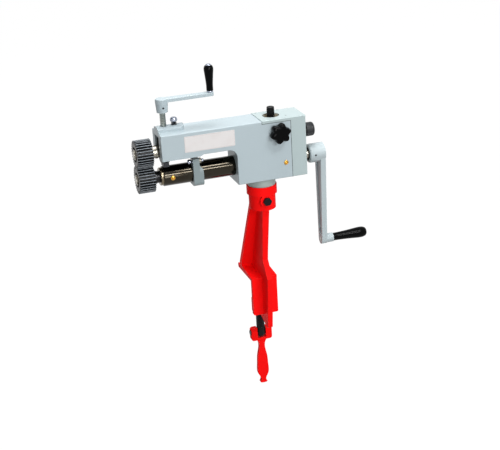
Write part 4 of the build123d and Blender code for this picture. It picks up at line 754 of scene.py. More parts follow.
def smooth_through(points: Sequence[Point], steps: int) -> list[Point]:
    """Smooth line through points.

    Args:
        points: The points.
        steps: Segments between two of them.

    Returns:
        Points of the line.
    """
    made: list[Point] = []
    spots = [Vector(p) for p in points]
    for index in range(len(spots) - 1):
        a = spots[max(index - 1, 0)]
        b, c = spots[index], spots[index + 1]
        d = spots[min(index + 2, len(spots) - 1)]
        for step in range(steps):
            t = step / steps
            spot = 0.5 * (
                2 * b + (c - a) * t + (2 * a - 5 * b + 4 * c - d) * t**2 + (3 * b - a - 3 * c + d) * t**3
            )
            made.append((spot.x, max(spot.y, 0.0)))
    return [*made, tuple(spots[-1])]


def revolved(
    name: str, profile: Sequence[Point], place: Matrix, segments: int = 72, ring: bool = False
) -> bpy.types.Mesh:
    """Turned piece.

    Args:
        name: Name of the mesh.
        profile: Points (along the axis, radius) in millimetres, from the piece's start to its end
            with the axis at its ends, or a closed loop for a ring.
        place: Where local Z, the axis, lies.
        segments: Sides of the turning.
        ring: Whether the profile is a closed loop clear of the axis.

    Returns:
        The mesh, in place.
    """
    work = bmesh.new()
    rows: list[list[bmesh.types.BMVert]] = []
    for along, radius in profile:
        if radius < 1e-6:
            rows.append([work.verts.new((0, 0, along * MM))])
            continue
        row = []
        for side in range(segments):
            turn = 2 * math.pi * side / segments
            spot = (radius * MM * math.cos(turn), radius * MM * math.sin(turn), along * MM)
            row.append(work.verts.new(spot))
        rows.append(row)
    pairs = list(zip(rows, rows[1:])) + ([(rows[-1], rows[0])] if ring else [])
    for low, high in pairs:
        for side in range(segments):
            after = (side + 1) % segments
            corners = [
                low[side % len(low)],
                low[after % len(low)],
                high[after % len(high)],
                high[side % len(high)],
            ]
            unique = list(dict.fromkeys(corners))
            if len(unique) > 2:
                work.faces.new(unique)
    bmesh.ops.recalc_face_normals(work, faces=work.faces)
    bmesh.ops.transform(work, matrix=place, verts=work.verts)
    mesh = bpy.data.meshes.new(name)
    work.to_mesh(mesh)
    work.free()
    return settle(mesh)


def stacked(
    name: str, rings: Sequence[Sequence[Point]], heights: Sequence[float], place: Matrix
) -> bpy.types.Mesh:
    """Closed piece through outlines at rising heights.

    Args:
        name: Name of the mesh.
        rings: Outlines with the same number of points, in millimetres.
        heights: Height of each outline, in millimetres.
        place: Where local Z, the height, lies.

    Returns:
        The mesh, in place.
    """
    work = bmesh.new()
    rows = [
        [work.verts.new((x * MM, y * MM, height * MM)) for x, y in ring]
        for ring, height in zip(rings, heights)
    ]
    for low, high in zip(rows, rows[1:]):
        for side in range(len(low)):
            after = (side + 1) % len(low)
            work.faces.new((low[side], low[after], high[after], high[side]))
    work.faces.new(rows[0][::-1])
    work.faces.new(rows[-1])
    bmesh.ops.recalc_face_normals(work, faces=work.faces)
    bmesh.ops.transform(work, matrix=place, verts=work.verts)
    mesh = bpy.data.meshes.new(name)
    work.to_mesh(mesh)
    work.free()
    return settle(mesh)


def bars(name: str, spans: Sequence[tuple[Point, Point, Point]]) -> bpy.types.Mesh:
    """Plain bars in one mesh.

    Args:
        name: Name of the mesh.
        spans: From and to of each bar along X, Y and Z, in millimetres.

    Returns:
        The mesh.
    """
    work = bmesh.new()
    for span in spans:
        size = [(high - low) * MM for low, high in span]
        middle = [(high + low) / 2 * MM for low, high in span]
        place = Matrix.Translation(middle) @ Matrix.Diagonal((*size, 1.0))
        bmesh.ops.create_cube(work, size=1.0, matrix=place)
    mesh = bpy.data.meshes.new(name)
    work.to_mesh(mesh)
    work.free()
    return settle(mesh)


def frame_of(origin: Vector, right: Sequence[float], up: Sequence[float]) -> Matrix:
    """Local frame.

    Args:
        origin: Its origin.
        right: Its X direction.
        up: Its Y direction.

    Returns:
        The frame's matrix.
    """
    x, y = Vector(right), Vector(up)
    made = Matrix((x, y, x.cross(y))).transposed().to_4x4()
    made.translation = origin
    return made


@dataclass(frozen=True)
class Seat:
    """Where a CAD node sits, as its box in the frame."""

    node: str

    @property
    def low(self) -> Vector:
        """Lowest corner."""
        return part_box(self.node)[0]

    @property
    def high(self) -> Vector:
        """Highest corner."""
        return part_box(self.node)[1]

    @property
    def size(self) -> Vector:
        """Size in millimetres."""
        return (self.high - self.low) / MM

    @property
    def middle(self) -> Vector:
        """Centre of the box."""
        return (self.low + self.high) / 2

    def along_shaft(self) -> Matrix:
        """Local Z along +X from the front end, local Y up."""
        return frame_of(Vector((self.low.x, self.middle.y, self.middle.z)), (0, 1, 0), (0, 0, 1))

    def upright(self) -> Matrix:
        """Local Z up from the foot."""
        return frame_of(Vector((self.middle.x, self.middle.y, self.low.z)), (1, 0, 0), (0, 1, 0))

    def towards_operator(self) -> Matrix:
        """Local Z along -Y from the back, local Y up."""
        return frame_of(Vector((self.middle.x, self.high.y, self.middle.z)), (1, 0, 0), (0, 0, 1))


# ---- Geometry Nodes -----------------------------------------------------------------------------
class Recipe(Tree):
    """One Geometry Nodes tree with named inputs."""

    def __init__(self, name: str, sizes: dict[str, tuple[str, float]]) -> None:
        """Starts a tree.

        Args:
            name: The tree's name.
            sizes: Inputs by name, as (kind of socket, default).
        """
        super().__init__(bpy.data.node_groups.new(name, "GeometryNodeTree"))
        face = self.tree.interface
        face.new_socket("Geometry", in_out="INPUT", socket_type="NodeSocketGeometry")
        self.ids: dict[str, str] = {}
        for label, (kind, default) in sizes.items():
            socket = face.new_socket(label, in_out="INPUT", socket_type=f"NodeSocket{kind}")
            socket.default_value = default
            self.ids[label] = socket.identifier
        finish = face.new_socket("Finish", in_out="INPUT", socket_type="NodeSocketMaterial")
        self.ids["Finish"] = finish.identifier
        face.new_socket("Geometry", in_out="OUTPUT", socket_type="NodeSocketGeometry")
        self.source = self.tree.nodes.new("NodeGroupInput")

    def size(self, label: str) -> bpy.types.NodeSocket:
        """Socket of a named input."""
        return self.source.outputs[label]

    def number(self, operation: str, *values: object) -> bpy.types.NodeSocket:
        """Result of a Math node.

        Args:
            operation: Blender's name of the operation.
            values: Operands in order.

        Returns:
            The result's socket.
        """
        settings = {"operation": operation}
        return self.node("ShaderNodeMath", settings, dict(enumerate(values))).outputs[0]

    def end(self, *parts: bpy.types.NodeSocket) -> "Recipe":
        """Ends the tree in Realize Instances and Set Material.

        Args:
            parts: Geometry that the piece consists of.

        Returns:
            The recipe.
        """
        joined = self.node("GeometryNodeJoinGeometry")
        for part in parts:
            self.tree.links.new(part, joined.inputs[0])
        real = self.node("GeometryNodeRealizeInstances", None, {0: joined.outputs[0]})
        painted = self.node(
            "GeometryNodeSetMaterial",
            None,
            {"Geometry": real.outputs[0], "Material": self.size("Finish")},
        )
        out = self.tree.nodes.new("NodeGroupOutput")
        self.tree.links.new(painted.outputs[0], out.inputs[0])
        return self

    def make(
        self, name: str, base: bpy.types.Mesh, place: Matrix, finish: Finish, sizes: dict[str, float]
    ) -> bpy.types.Mesh:
        """Runs the tree on a mesh.

        Args:
            name: Name of the new mesh.
            base: Mesh that goes in, in the recipe's own frame.
            place: Where the result goes.
            finish: Its finish.
            sizes: Values of the inputs by name; lengths are in metres.

        Returns:
            The plain mesh, in place.
        """
        carrier = object_of(f"{name}_carrier", base)
        modifier = carrier.modifiers.new("recipe", "NODES")
        modifier.node_group = self.tree
        for label, value in sizes.items():
            modifier[self.ids[label]] = value
        modifier[self.ids["Finish"]] = dressed(finish)
        mesh = evaluated(carrier)
        carrier.modifiers.remove(modifier)
        bpy.data.objects.remove(carrier)
        mesh.name = name
        mesh.transform(place)
        return settle(mesh)


def toothed_recipe() -> Recipe:
    """Teeth round an axis, joined to the core that goes in.

    Returns:
        The recipe; the teeth start at local Z 0 and the first one points along local Y.
    """
    recipe = Recipe(
        "teeth_round_an_axis",
        {
            "Teeth": ("Int", 30),
            "Root Radius": ("Float", 0.0223),
            "Tooth Height": ("Float", 0.0047),
            "Root Width": ("Float", 0.0033),
            "Crest Width": ("Float", 0.0011),
            "Rounding": ("Float", 0.0003),
            "Length": ("Float", 0.031),
            "Start": ("Float", 0.0),
        },
    )
    outline = recipe.node(
        "GeometryNodeCurvePrimitiveQuadrilateral",
        {"mode": "TRAPEZOID"},
        {
            "Bottom Width": recipe.size("Root Width"),
            "Top Width": recipe.size("Crest Width"),
            "Height": recipe.size("Tooth Height"),
            "Offset": 0.0,
        },
    )
    rounded = recipe.node(
        "GeometryNodeFilletCurve",
        {"mode": "POLY"},
        {"Curve": outline.outputs[0], "Radius": recipe.size("Rounding"), "Limit Radius": True, "Count": 3},
    )
    face = recipe.node("GeometryNodeFillCurve", {"mode": "NGONS"}, {0: rounded.outputs[0]})
    base = recipe.node("GeometryNodeFlipFaces", None, {0: face.outputs[0]})
    raised = recipe.node(
        "GeometryNodeExtrudeMesh",
        {"mode": "FACES"},
        {"Mesh": face.outputs[0], "Offset Scale": recipe.size("Length"), "Individual": False},
    )
    solid = recipe.node("GeometryNodeJoinGeometry")
    recipe.tree.links.new(base.outputs[0], solid.inputs[0])
    recipe.tree.links.new(raised.outputs["Mesh"], solid.inputs[0])
    weld = {"Geometry": solid.outputs[0], "Distance": 1e-6}
    welded = recipe.node("GeometryNodeMergeByDistance", None, weld)
    half = recipe.number("MULTIPLY", recipe.size("Tooth Height"), 0.5)
    seat = recipe.number("ADD", recipe.size("Root Radius"), half)
    lifted = recipe.node("ShaderNodeCombineXYZ", None, {"Y": seat})
    tooth = recipe.node(
        "GeometryNodeTransform", None, {"Geometry": welded.outputs[0], "Translation": lifted.outputs[0]}
    )
    spots = recipe.node("GeometryNodePoints", None, {"Count": recipe.size("Teeth")})
    index = recipe.node("GeometryNodeInputIndex")
    share = recipe.number("DIVIDE", index.outputs[0], recipe.size("Teeth"))
    turn = recipe.number("ADD", recipe.number("MULTIPLY", share, math.tau), recipe.size("Start"))
    about = recipe.node("ShaderNodeCombineXYZ", None, {"Z": turn})
    ring = recipe.node(
        "GeometryNodeInstanceOnPoints",
        None,
        {"Points": spots.outputs[0], "Instance": tooth.outputs[0], "Rotation": about.outputs[0]},
    )
    return recipe.end(recipe.size("Geometry"), ring.outputs[0])


def helix_recipe() -> Recipe:
    """Right-handed ridge or wire round local Z, joined to the core that goes in.

    Returns:
        The recipe.
    """
    recipe = Recipe(
        "helix",
        {
            "Turns": ("Float", 6.0),
            "Height": ("Float", 0.02),
            "Radius": ("Float", 0.005),
            "Wire Radius": ("Float", 0.0006),
            "Sides": ("Int", 4),
            "Steps": ("Int", 200),
            "Foot": ("Float", 0.0),
        },
    )
    path = recipe.node(
        "GeometryNodeCurveSpiral",
        None,
        {
            "Resolution": recipe.size("Steps"),
            "Rotations": recipe.size("Turns"),
            "Start Radius": recipe.size("Radius"),
            "End Radius": recipe.size("Radius"),
            "Height": recipe.size("Height"),
            "Reverse": False,
        },
    )
    level = recipe.node("GeometryNodeSetCurveNormal", {"mode": "Z_UP"}, {0: path.outputs[0]})
    section = recipe.node(
        "GeometryNodeCurvePrimitiveCircle",
        {"mode": "RADIUS"},
        {"Resolution": recipe.size("Sides"), "Radius": recipe.size("Wire Radius")},
    )
    swept = recipe.node(
        "GeometryNodeCurveToMesh",
        None,
        {"Curve": level.outputs[0], "Profile Curve": section.outputs[0], "Fill Caps": True},
    )
    lifted = recipe.node("ShaderNodeCombineXYZ", None, {"Z": recipe.size("Foot")})
    placed = recipe.node(
        "GeometryNodeTransform", None, {"Geometry": swept.outputs[0], "Translation": lifted.outputs[0]}
    )
    return recipe.end(recipe.size("Geometry"), placed.outputs[0])


def corner_recipe() -> Recipe:
    """The piece that goes in, repeated at the four corners of a rectangle.

    Returns:
        The recipe; the rectangle lies across local Z.
    """
    recipe = Recipe("at_four_corners", {"Width": ("Float", 0.05), "Height": ("Float", 0.1)})
    corners = recipe.node(
        "GeometryNodeMeshGrid",
        None,
        {
            "Size X": recipe.size("Width"),
            "Size Y": recipe.size("Height"),
            "Vertices X": 2,
            "Vertices Y": 2,
        },
    )
    spread = recipe.node(
        "GeometryNodeInstanceOnPoints",
        None,
        {"Points": corners.outputs[0], "Instance": recipe.size("Geometry")},
    )
    return recipe.end(spread.outputs[0])


@dataclass(frozen=True)
class Workshop:
    """What every sub-assembly works with."""

    record: dict
    teeth: Recipe
    helix: Recipe
    corners: Recipe


# ---- Sub-assemblies ---------------------------------------------------------------------------
@dataclass
class SubAssembly:
    """Pieces that are built and dressed together."""

    shop: Workshop
    title: str = "sub-assembly"
    pieces: list[str] = field(default_factory=list)

    def body_of(self, node: str) -> str:
        """Body that carries a CAD node."""
        return bpy.data.objects[node]["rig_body"]

    def present(
        self,
        name: str,
        mesh: bpy.types.Mesh,
        finish: Finish,
        node: str,
        stands_for: Sequence[str] = (),
        slot: str = "",
    ) -> bpy.types.Object:
        """Puts a finished piece on the body of a CAD node.

        Args:
            name: The piece's name.
            mesh: Its mesh, in place.
            finish: Its finish.
            node: CAD node whose body it rides on.
            stands_for: CAD nodes that it replaces.
            slot: Material slot; not used.

        Returns:
            The piece.
        """
        mesh.materials.clear()
        mesh.materials.append(dressed(finish))
        for face in mesh.polygons:
            face.material_index = 0
        made = object_of(name, mesh)
        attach(made, self.body_of(node))
        if stands_for:
            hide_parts(*stands_for)
        self.pieces.append(name)
        return made

    def keep(self, finish: Finish, *nodes: str) -> None:
        """Gives CAD nodes that stay as they are their finish.

        Args:
            finish: The finish.
            nodes: The nodes.
        """
        for node in nodes:
            thing = bpy.data.objects[node]
            thing.data.materials.clear()
            thing.data.materials.append(dressed(finish))
            self.pieces.append(node)

    def soften(self, node: str, finish: Finish, width: float, angle: float = 32.0) -> None:
        """Replaces a CAD node by a merged copy with rounded edges.

        Args:
            node: The node.
            finish: Its finish.
            width: Width of the rounding, in millimetres; 0 only smooths the shading.
            angle: Edges sharper than this are rounded, in degrees.
        """
        source = bpy.data.objects[node]
        work = bmesh.new()
        work.from_mesh(source.data)
        bmesh.ops.remove_doubles(work, verts=work.verts, dist=2e-6)
        bmesh.ops.dissolve_limit(
            work,
            angle_limit=math.radians(0.4),
            use_dissolve_boundaries=False,
            verts=work.verts,
            edges=work.edges,
        )
        mesh = bpy.data.meshes.new(f"{node}_softened")
        work.to_mesh(mesh)
        work.free()
        if width > 0:
            carrier = object_of(f"{node}_carrier", settle(mesh, angle))
            rounding = carrier.modifiers.new("rounding", "BEVEL")
            rounding.width = width * MM
            rounding.segments = 2
            rounding.limit_method = "ANGLE"
            rounding.angle_limit = math.radians(angle)
            rounding.miter_outer = "MITER_ARC"
            weighted = carrier.modifiers.new("weighted", "WEIGHTED_NORMAL")
            weighted.keep_sharp = True
            mesh = evaluated(carrier)
            bpy.data.objects.remove(carrier)
        else:
            settle(mesh, angle)
        self.present(f"{node}_finished", mesh, finish, node, (node,))

    def turn(
        self,
        node: str,
        profile: Sequence[Point],
        finish: Finish,
        place: Matrix | None = None,
        ring: bool = False,
        rounding: float = 0.3,
        segments: int = 72,
    ) -> bpy.types.Object:
        """Replaces a CAD node by a turned piece.

        Args:
            node: The node.
            profile: Its profile, as for revolved.
            finish: Its finish.
            place: Its axis, by default along the shafts.
            ring: Whether the profile is a closed loop.
            rounding: Rounding of the profile's corners, in millimetres.
            segments: Sides of the turning.

        Returns:
            The piece.
        """
        seat = place or Seat(node).along_shaft()
        outline = list(profile)
        if ring:
            outline = eased([*outline, *outline[:2]], rounding)[1:-1]
        else:
            outline = eased(outline, rounding)
        mesh = revolved(f"{node}_turned", outline, seat, segments, ring)
        return self.present(f"{node}_turned", mesh, finish, node, (node,))

    def repeat(
        self,
        recipe: Recipe,
        name: str,
        base: bpy.types.Mesh,
        place: Matrix,
        finish: Finish,
        node: str,
        sizes: dict[str, float],
    ) -> None:
        """Replaces a CAD node by what a recipe makes.

        Args:
            recipe: The recipe.
            name: The piece's name.
            base: Mesh that goes in.
            place: Where the result goes.
            finish: Its finish.
            node: The node.
            sizes: The recipe's inputs; lengths are in metres.
        """
        mesh = recipe.make(name, base, place, finish, sizes)
        self.present(name, mesh, finish, node, (node,))

    def build(self) -> None:
        """Builds and dresses the pieces."""
        raise NotImplementedError


@dataclass
class Stand(SubAssembly):
    """Red cast post with its socket, lock bolt, clamp screw and folding handle."""

    title: str = "stand"
    thread_pitch: float = 2.5
    thread_depth: float = 0.75
    screw_foot: float = 20.0
    screw_neck: float = 4.3

    def build(self) -> None:
        """Builds and dresses the pieces."""
        self.soften("stand_post", RED_CAST, 0.9)
        self.soften("clamp_handle", RED_CAST, 1.6)
        self.soften("socket_lock_bolt", BLUED, 0.6)
        self.soften("handle_pin", BLUED, 0.4)
        self.soften("pressure_pad", STEEL_Z, 0.4)
        self._clamp_screw()

    def _clamp_screw(self) -> None:
        """Threaded clamp screw with a plain foot and a bored end."""
        seat = Seat("clamp_screw")
        radius = seat.size.x / 2
        length = seat.size.z
        core = radius - self.thread_depth
        foot, neck = self.screw_foot, self.screw_neck
        profile = [
            (0, 0),
            (0, radius - 1.2),
            (1.2, radius),
            (foot, radius),
            (foot + 0.8, core),
            (length - neck - 0.8, core),
            (length - neck, core - 0.5),
            (length - neck, radius - 2.5),
            (length, radius - 2.5),
            (length, 0),
        ]
        base = revolved("clamp_screw_core", eased(profile, 0.3), Matrix.Identity(4), 48)
        height = length - neck - foot - 3
        self.repeat(
            self.shop.helix,
            "clamp_screw_threaded",
            base,
            seat.upright(),
            BLUED,
            "clamp_screw",
            {
                "Turns": height / self.thread_pitch,
                "Height": height * MM,
                "Radius": (radius - self.thread_depth) * MM,
                "Wire Radius": self.thread_depth * MM,
                "Steps": 24,
                "Foot": (foot + 1.5) * MM,
            },
        )


@dataclass
class Head(SubAssembly):
    """Gearbox and arm casting with its cover, tube, oilers, label and dial."""

    title: str = "head"
    dial_height: float = 4.4
    dial_marks: tuple[tuple[str, float, float], ...] = (
        ("10", 8.0, -70.0),
        ("20", 51.0, -73.0),
        ("30", 48.5, -29.5),
        ("40", 4.0, -29.0),
    )
    dial_relief: float = 0.05
    seam: float = 0.9
    seam_skin: float = 0.06
    cover_front: float = 54.7
    plate_front: float = -3.3
    plate_foot: float = 341.7
    plate_rise: float = 4.2
    cap_radius: float = 4.25
    cap_height: float = 4.7
    cap_shank: float = 2.5
    cap_socket: float = 2.5
    cap_socket_depth: float = 2.6
    spigot_radius: float = 19.0
    flange_height: float = 15.5
    tube_bore: float = 10.55
    label_inset: float = 1.1
    label_line: float = 0.45
    spring_wire: float = 1.2
    spring_radius: float = 4.75
    spring_turns: int = 6

    def build(self) -> None:
        """Builds and dresses the pieces."""
        self.soften("frame_casting", GREY, 0.35)
        self.soften("gear_cover", GREY_COVER, 0.35)
        self._cover_screws()
        self._spigot()
        self._tube()
        self._oilers()
        self._label()
        self._dial()
        self._seams()
        self._spring()
        self.keep(BRONZE, "lower_bushes", "screw_nut")
        self.keep(BLUED, "spigot_bolts")
        self.soften("index_plate", BRASS, 0.2)

    def _cover_screws(self) -> None:
        """Four cap screws with hexagon sockets in the rear face of the cover."""
        seat = Seat("cover_screws")
        size = seat.size
        head, shank, socket = self.cap_radius, self.cap_shank, self.cap_socket
        seat_x, deep = size.x - self.cap_height, size.x - self.cap_socket_depth
        profile = [(0, 0), (0, shank), (seat_x, shank), (seat_x, head), (size.x, head)]
        profile += [(size.x, socket), (deep, socket), (deep, 0)]
        base = revolved("cap_screw", eased(profile, 0.35), Matrix.Identity(4), 30)
        self.repeat(
            self.shop.corners,
            "cover_cap_screws",
            base,
            seat.along_shaft(),
            BLUED,
            "cover_screws",
            {"Width": (size.y - 2 * head) * MM, "Height": (size.z - 2 * head) * MM},
        )

    def _spigot(self) -> None:
        """Turned flange under the gearbox with the spigot that swivels in the socket."""
        seat = Seat("socket_spigot")
        radius, height = seat.size.x / 2, seat.size.z
        spigot, flange = self.spigot_radius, self.flange_height
        profile = [
            (0, 0),
            (0, spigot - 1.5),
            (1.5, spigot),
            (height - flange, spigot),
            (height - flange, radius - 0.8),
            (height - flange + 0.8, radius),
            (height, radius),
            (height, 0),
        ]
        self.turn("socket_spigot", profile, GREY_PAINTED_SHADE_SPIGOT, seat.upright(), segments=96)

    def _tube(self) -> None:
        """Ground tube with a chamfered mouth, open for its bushes."""
        seat = Seat("lower_tube")
        radius, length, bore = seat.size.z / 2, seat.size.x, self.tube_bore
        profile = [(0, bore), (0, radius - 1.0), (1.0, radius), (length, radius), (length, bore)]
        self.turn("lower_tube", profile, TUBE_STEEL, ring=True, rounding=0.25, segments=120)

    def _oilers(self) -> None:
        """Brass ball oilers of the gearbox and the tube."""
        for node in ("gearbox_oiler", "tube_oiler"):
            seat = Seat(node)
            deep, radius = seat.size.y, seat.size.x / 2
            cap = radius / 2
            profile = [
                (0, 0),
                (0, 2.5),
                (deep - cap, 2.5),
                (deep - cap, radius),
                (deep - cap * 0.4, radius),
                (deep - 0.2, radius * 0.62),
                (deep - 0.2, radius * 0.42),
                (deep - 0.9, radius * 0.36),
                (deep - 0.3, radius * 0.2),
                (deep - 0.1, 0),
            ]
            self.turn(node, profile, BRASS, seat.towards_operator(), rounding=0.25, segments=40)

    def _label(self) -> None:
        """Bare label plate with a thin frame round it."""
        self.soften("label_plate", LABEL, 0.12)
        seat = Seat("label_plate")
        size = seat.size
        work = bmesh.new()
        rows = []
        for margin in (self.label_inset, self.label_inset + self.label_line):
            x, z = size.x / 2 - margin, size.z / 2 - margin
            rows.append([(-x, -z), (x, -z), (x, z), (-x, z)])
        solid = []
        for height in (-0.05, 0.0):
            solid.append(
                [[work.verts.new((x * MM, z * MM, height * MM)) for x, z in row] for row in rows]
            )
        for side in range(4):
            after = (side + 1) % 4
            (out_low, in_low), (out_high, in_high) = solid
            for quad in (
                (out_high[side], out_high[after], in_high[after], in_high[side]),
                (out_low[after], out_low[side], in_low[side], in_low[after]),
                (out_low[side], out_low[after], out_high[after], out_high[side]),
                (in_low[after], in_low[side], in_high[side], in_high[after]),
            ):
                work.faces.new(quad)
        bmesh.ops.recalc_face_normals(work, faces=work.faces)
        origin = Vector((seat.middle.x, seat.low.y - 0.02 * MM, seat.middle.z))
        bmesh.ops.transform(work, matrix=frame_of(origin, (1, 0, 0), (0, 0, 1)), verts=work.verts)
        mesh = bpy.data.meshes.new("label_frame")
        work.to_mesh(mesh)
        work.free()
        self.present("label_frame", settle(mesh), BORDER, "label_plate")

    def _dial(self) -> None:
        """Plain numbers round the opening over the index knob."""
        top = Seat("gear_cover").high.z
        for mark, x, y in self.dial_marks:
            curve = bpy.data.curves.new(f"dial_mark_{mark}", "FONT")
            curve.body = mark
            curve.size = self.dial_height * MM
            curve.align_x, curve.align_y = "CENTER", "CENTER"
            curve.extrude = self.dial_relief * MM
            carrier = object_of(f"dial_mark_{mark}_carrier", curve)
            mesh = evaluated(carrier)
            bpy.data.objects.remove(carrier)
            mesh.transform(Matrix.Translation(Vector((x * MM, y * MM, top))))
            self.present(f"dial_mark_{mark}", settle(mesh), DIAL_INK, "gear_cover", slot="black_steel")

    def _seams(self) -> None:
        """Dark joint between the casting and its cover, down the sides and under the top plate, with painted
        shade.
        """
        low, high = Seat("frame_casting").low / MM, Seat("gear_cover").high / MM
        half, skin = self.seam / 2, self.seam_skin
        across = (low.y, high.y)
        cover = (self.cover_front - half, self.cover_front + half)
        plate = (self.plate_front - half, self.plate_front + half)
        foot = (self.plate_foot - half, self.plate_foot + half)
        spans = [(cover, across, (low.z - skin, low.z + half))]
        for face in ((across[0] - skin, across[0] + half), (across[1] - half, across[1] + skin)):
            spans.append((cover, face, (low.z, self.plate_foot + half)))
            spans.append(((plate[0], cover[1]), face, foot))
            spans.append((plate, face, (foot[0], self.plate_foot + self.plate_rise)))
        self.present("cover_joint_and_shade", bars("cover_joint_and_shade", spans), SEAM_SHADE, "gear_cover", slot="black_steel")

    def _spring(self) -> None:
        """Lift spring under the head of the lift bolt."""
        seat = Seat("lift_spring")
        wire = self.spring_wire
        height = seat.size.z - wire
        empty = bpy.data.meshes.new("spring_base")
        self.repeat(
            self.shop.helix,
            "lift_spring_coiled",
            empty,
            seat.upright(),
            BLUED,
            "lift_spring",
            {
                "Turns": float(self.spring_turns),
                "Height": height * MM,
                "Radius": self.spring_radius * MM,
                "Wire Radius": wire / 2 * MM,
                "Sides": 10,
                "Steps": 32,
                "Foot": wire / 2 * MM,
            },
        )


@dataclass
class ToothedShaft(SubAssembly):
    """One shaft with its toothed roller, nut, spacer collar, gear and keys."""

    title: str = "shaft"
    row: str = "upper"
    teeth: int = 30
    tip: float = 27.0
    root: float = 22.3
    recess_radius: float = 14.5
    recess_depth: float = 5.0
    bore: float = 8.0
    start: float = 0.0
    tooth_foot: float = 3.4
    tooth_crest: float = 1.15
    tooth_rounding: float = 0.4
    tooth_sunk: float = 0.3

    def build(self) -> None:
        """Builds and dresses the pieces."""
        self._roller()
        self._nut()
        self.soften(f"{self.row}_shaft", STEEL_X, 0.4)
        self.keep(IRON, f"{self.row}_gear")
        self.keep(STEEL, f"{self.row}_shaft_keys")

    def _roller(self) -> None:
        """Roller with rounded teeth round a core with a recess and a bore."""
        node = f"{self.row}_roller"
        length = Seat(node).size.x
        profile = [
            (self.recess_depth, self.bore),
            (self.recess_depth, self.recess_radius),
            (0.3, self.recess_radius),
            (0, self.recess_radius + 0.3),
            (0, self.root + 0.15),
            (length, self.root + 0.15),
            (length, self.bore),
        ]
        core = revolved(f"{node}_core", profile, Matrix.Identity(4), 120, ring=True)
        low, middle, high = Seat(node).low, Seat(node).middle, Seat(node).high
        finish = Toothed(
            f"{self.row}_roller_oxide", (middle.y, middle.z), (low.x, high.x), self.root, self.tip
        )
        self.repeat(
            self.shop.teeth,
            f"{node}_toothed",
            core,
            Seat(node).along_shaft(),
            finish,
            node,
            {
                "Teeth": self.teeth,
                "Root Radius": (self.root - self.tooth_sunk) * MM,
                "Tooth Height": (self.tip - self.root + self.tooth_sunk) * MM,
                "Root Width": self.tooth_foot * MM,
                "Crest Width": self.tooth_crest * MM,
                "Rounding": self.tooth_rounding * MM,
                "Length": length * MM,
                "Start": math.radians(self.start),
            },
        )

    def _nut(self) -> None:
        """Roller nut with softened corners."""
        self.soften(f"{self.row}_roller_nut", STEEL_X, 0.5)


@dataclass
class UpperShaft(ToothedShaft):
    """Upper shaft with its stepped neck."""

    title: str = "upper shaft"
    start: float = 6.0

    def build(self) -> None:
        """Builds and dresses the pieces."""
        super().build()
        length = Seat("upper_collar").size.x
        radius = Seat("upper_collar").size.z / 2
        profile = [
            (0, self.bore),
            (0, radius - 1.6),
            (length * 0.42, radius - 1.6),
            (length * 0.42, radius),
            (length * 0.62, radius),
            (length * 0.62, radius - 1.1),
            (length, radius - 1.1),
            (length, self.bore),
        ]
        self.turn("upper_collar", profile, STEEL_X, ring=True)


@dataclass
class LowerShaft(ToothedShaft):
    """Lower shaft with its neck, thrust ring and the main crank."""

    title: str = "lower shaft and main crank"
    row: str = "lower"
    grip_foot: float = 8.0
    grip_bore: float = 4.3

    def build(self) -> None:
        """Builds and dresses the pieces."""
        super().build()
        length = Seat("lower_collar").size.x
        radius = Seat("lower_collar").size.z / 2
        profile = [
            (0, self.bore),
            (0, radius),
            (length * 0.45, radius),
            (length * 0.45, radius - 1.4),
            (length, radius - 1.4),
            (length, self.bore),
        ]
        self.turn("lower_collar", profile, OXIDE_TURNED, ring=True)
        seat = Seat("thrust_ring")
        wide, big = seat.size.x, seat.size.z / 2
        profile = [(0, self.bore), (0, big - 1), (1, big), (wide, big), (wide, self.bore)]
        self.turn("thrust_ring", profile, BRASS_RING, ring=True, segments=96)
        self.soften("crank_arm", GREY_CAST, 0.9)
        self.soften("crank_set_screw", BLUED, 0.3)
        self.soften("grip_spindle", STEEL_X, 0.3)
        self._grip()

    def _grip(self) -> None:
        """Swelling moulded grip, open for its spindle."""
        seat = Seat("crank_grip")
        length, radius = seat.size.x, seat.size.z / 2
        foot, bore = self.grip_foot, self.grip_bore
        shape = [
            (0, foot * 0.93),
            (0.8, foot),
            (length * 0.15, foot + 0.1),
            (length * 0.45, (foot + radius) / 2 - 0.3),
            (length * 0.68, radius - 0.5),
            (length * 0.82, radius),
            (length * 0.91, radius * 0.93),
            (length * 0.97, radius * 0.74),
            (length - 0.2, radius * 0.42),
            (length, 0),
        ]
        profile = [(length - 3, 0), (length - 3, bore), (0, bore), *smooth_through(shape, 5)]
        mesh = revolved("crank_grip_turned", profile, seat.along_shaft(), 80)
        self.present("crank_grip_turned", mesh, PLASTIC, "crank_grip", ("crank_grip",))


@dataclass
class Carrier(SubAssembly):
    """Bearing block of the upper shaft, its bushes, lift bolt and rear ball."""

    title: str = "upper carrier"
    bolt_shank: float = 3.0
    bolt_head: float = 8.0

    def build(self) -> None:
        """Builds and dresses the pieces."""
        self.soften("front_bearing_block", IRON, 0.6)
        self.keep(BRONZE, "upper_bushes", "rear_pivot_ball")
        self._lift_bolt()

    def _lift_bolt(self) -> None:
        """Lift bolt with a domed chrome head over a black neck."""
        seat = Seat("lift_bolt")
        length, radius = seat.size.z, seat.size.x / 2
        start = length - self.bolt_head
        profile = [
            (0, 0),
            (0.6, self.bolt_shank - 0.6),
            (1.2, self.bolt_shank),
            (start, self.bolt_shank),
            (start, radius - 0.6),
            (start + 0.7, radius),
            (start + 3.2, radius),
            (start + 5.4, radius * 0.93),
            (start + 7.0, radius * 0.7),
            (start + 7.8, radius * 0.36),
            (length, 0),
        ]
        self.turn("lift_bolt", profile, CHROME, seat.upright(), rounding=0.7, segments=64)


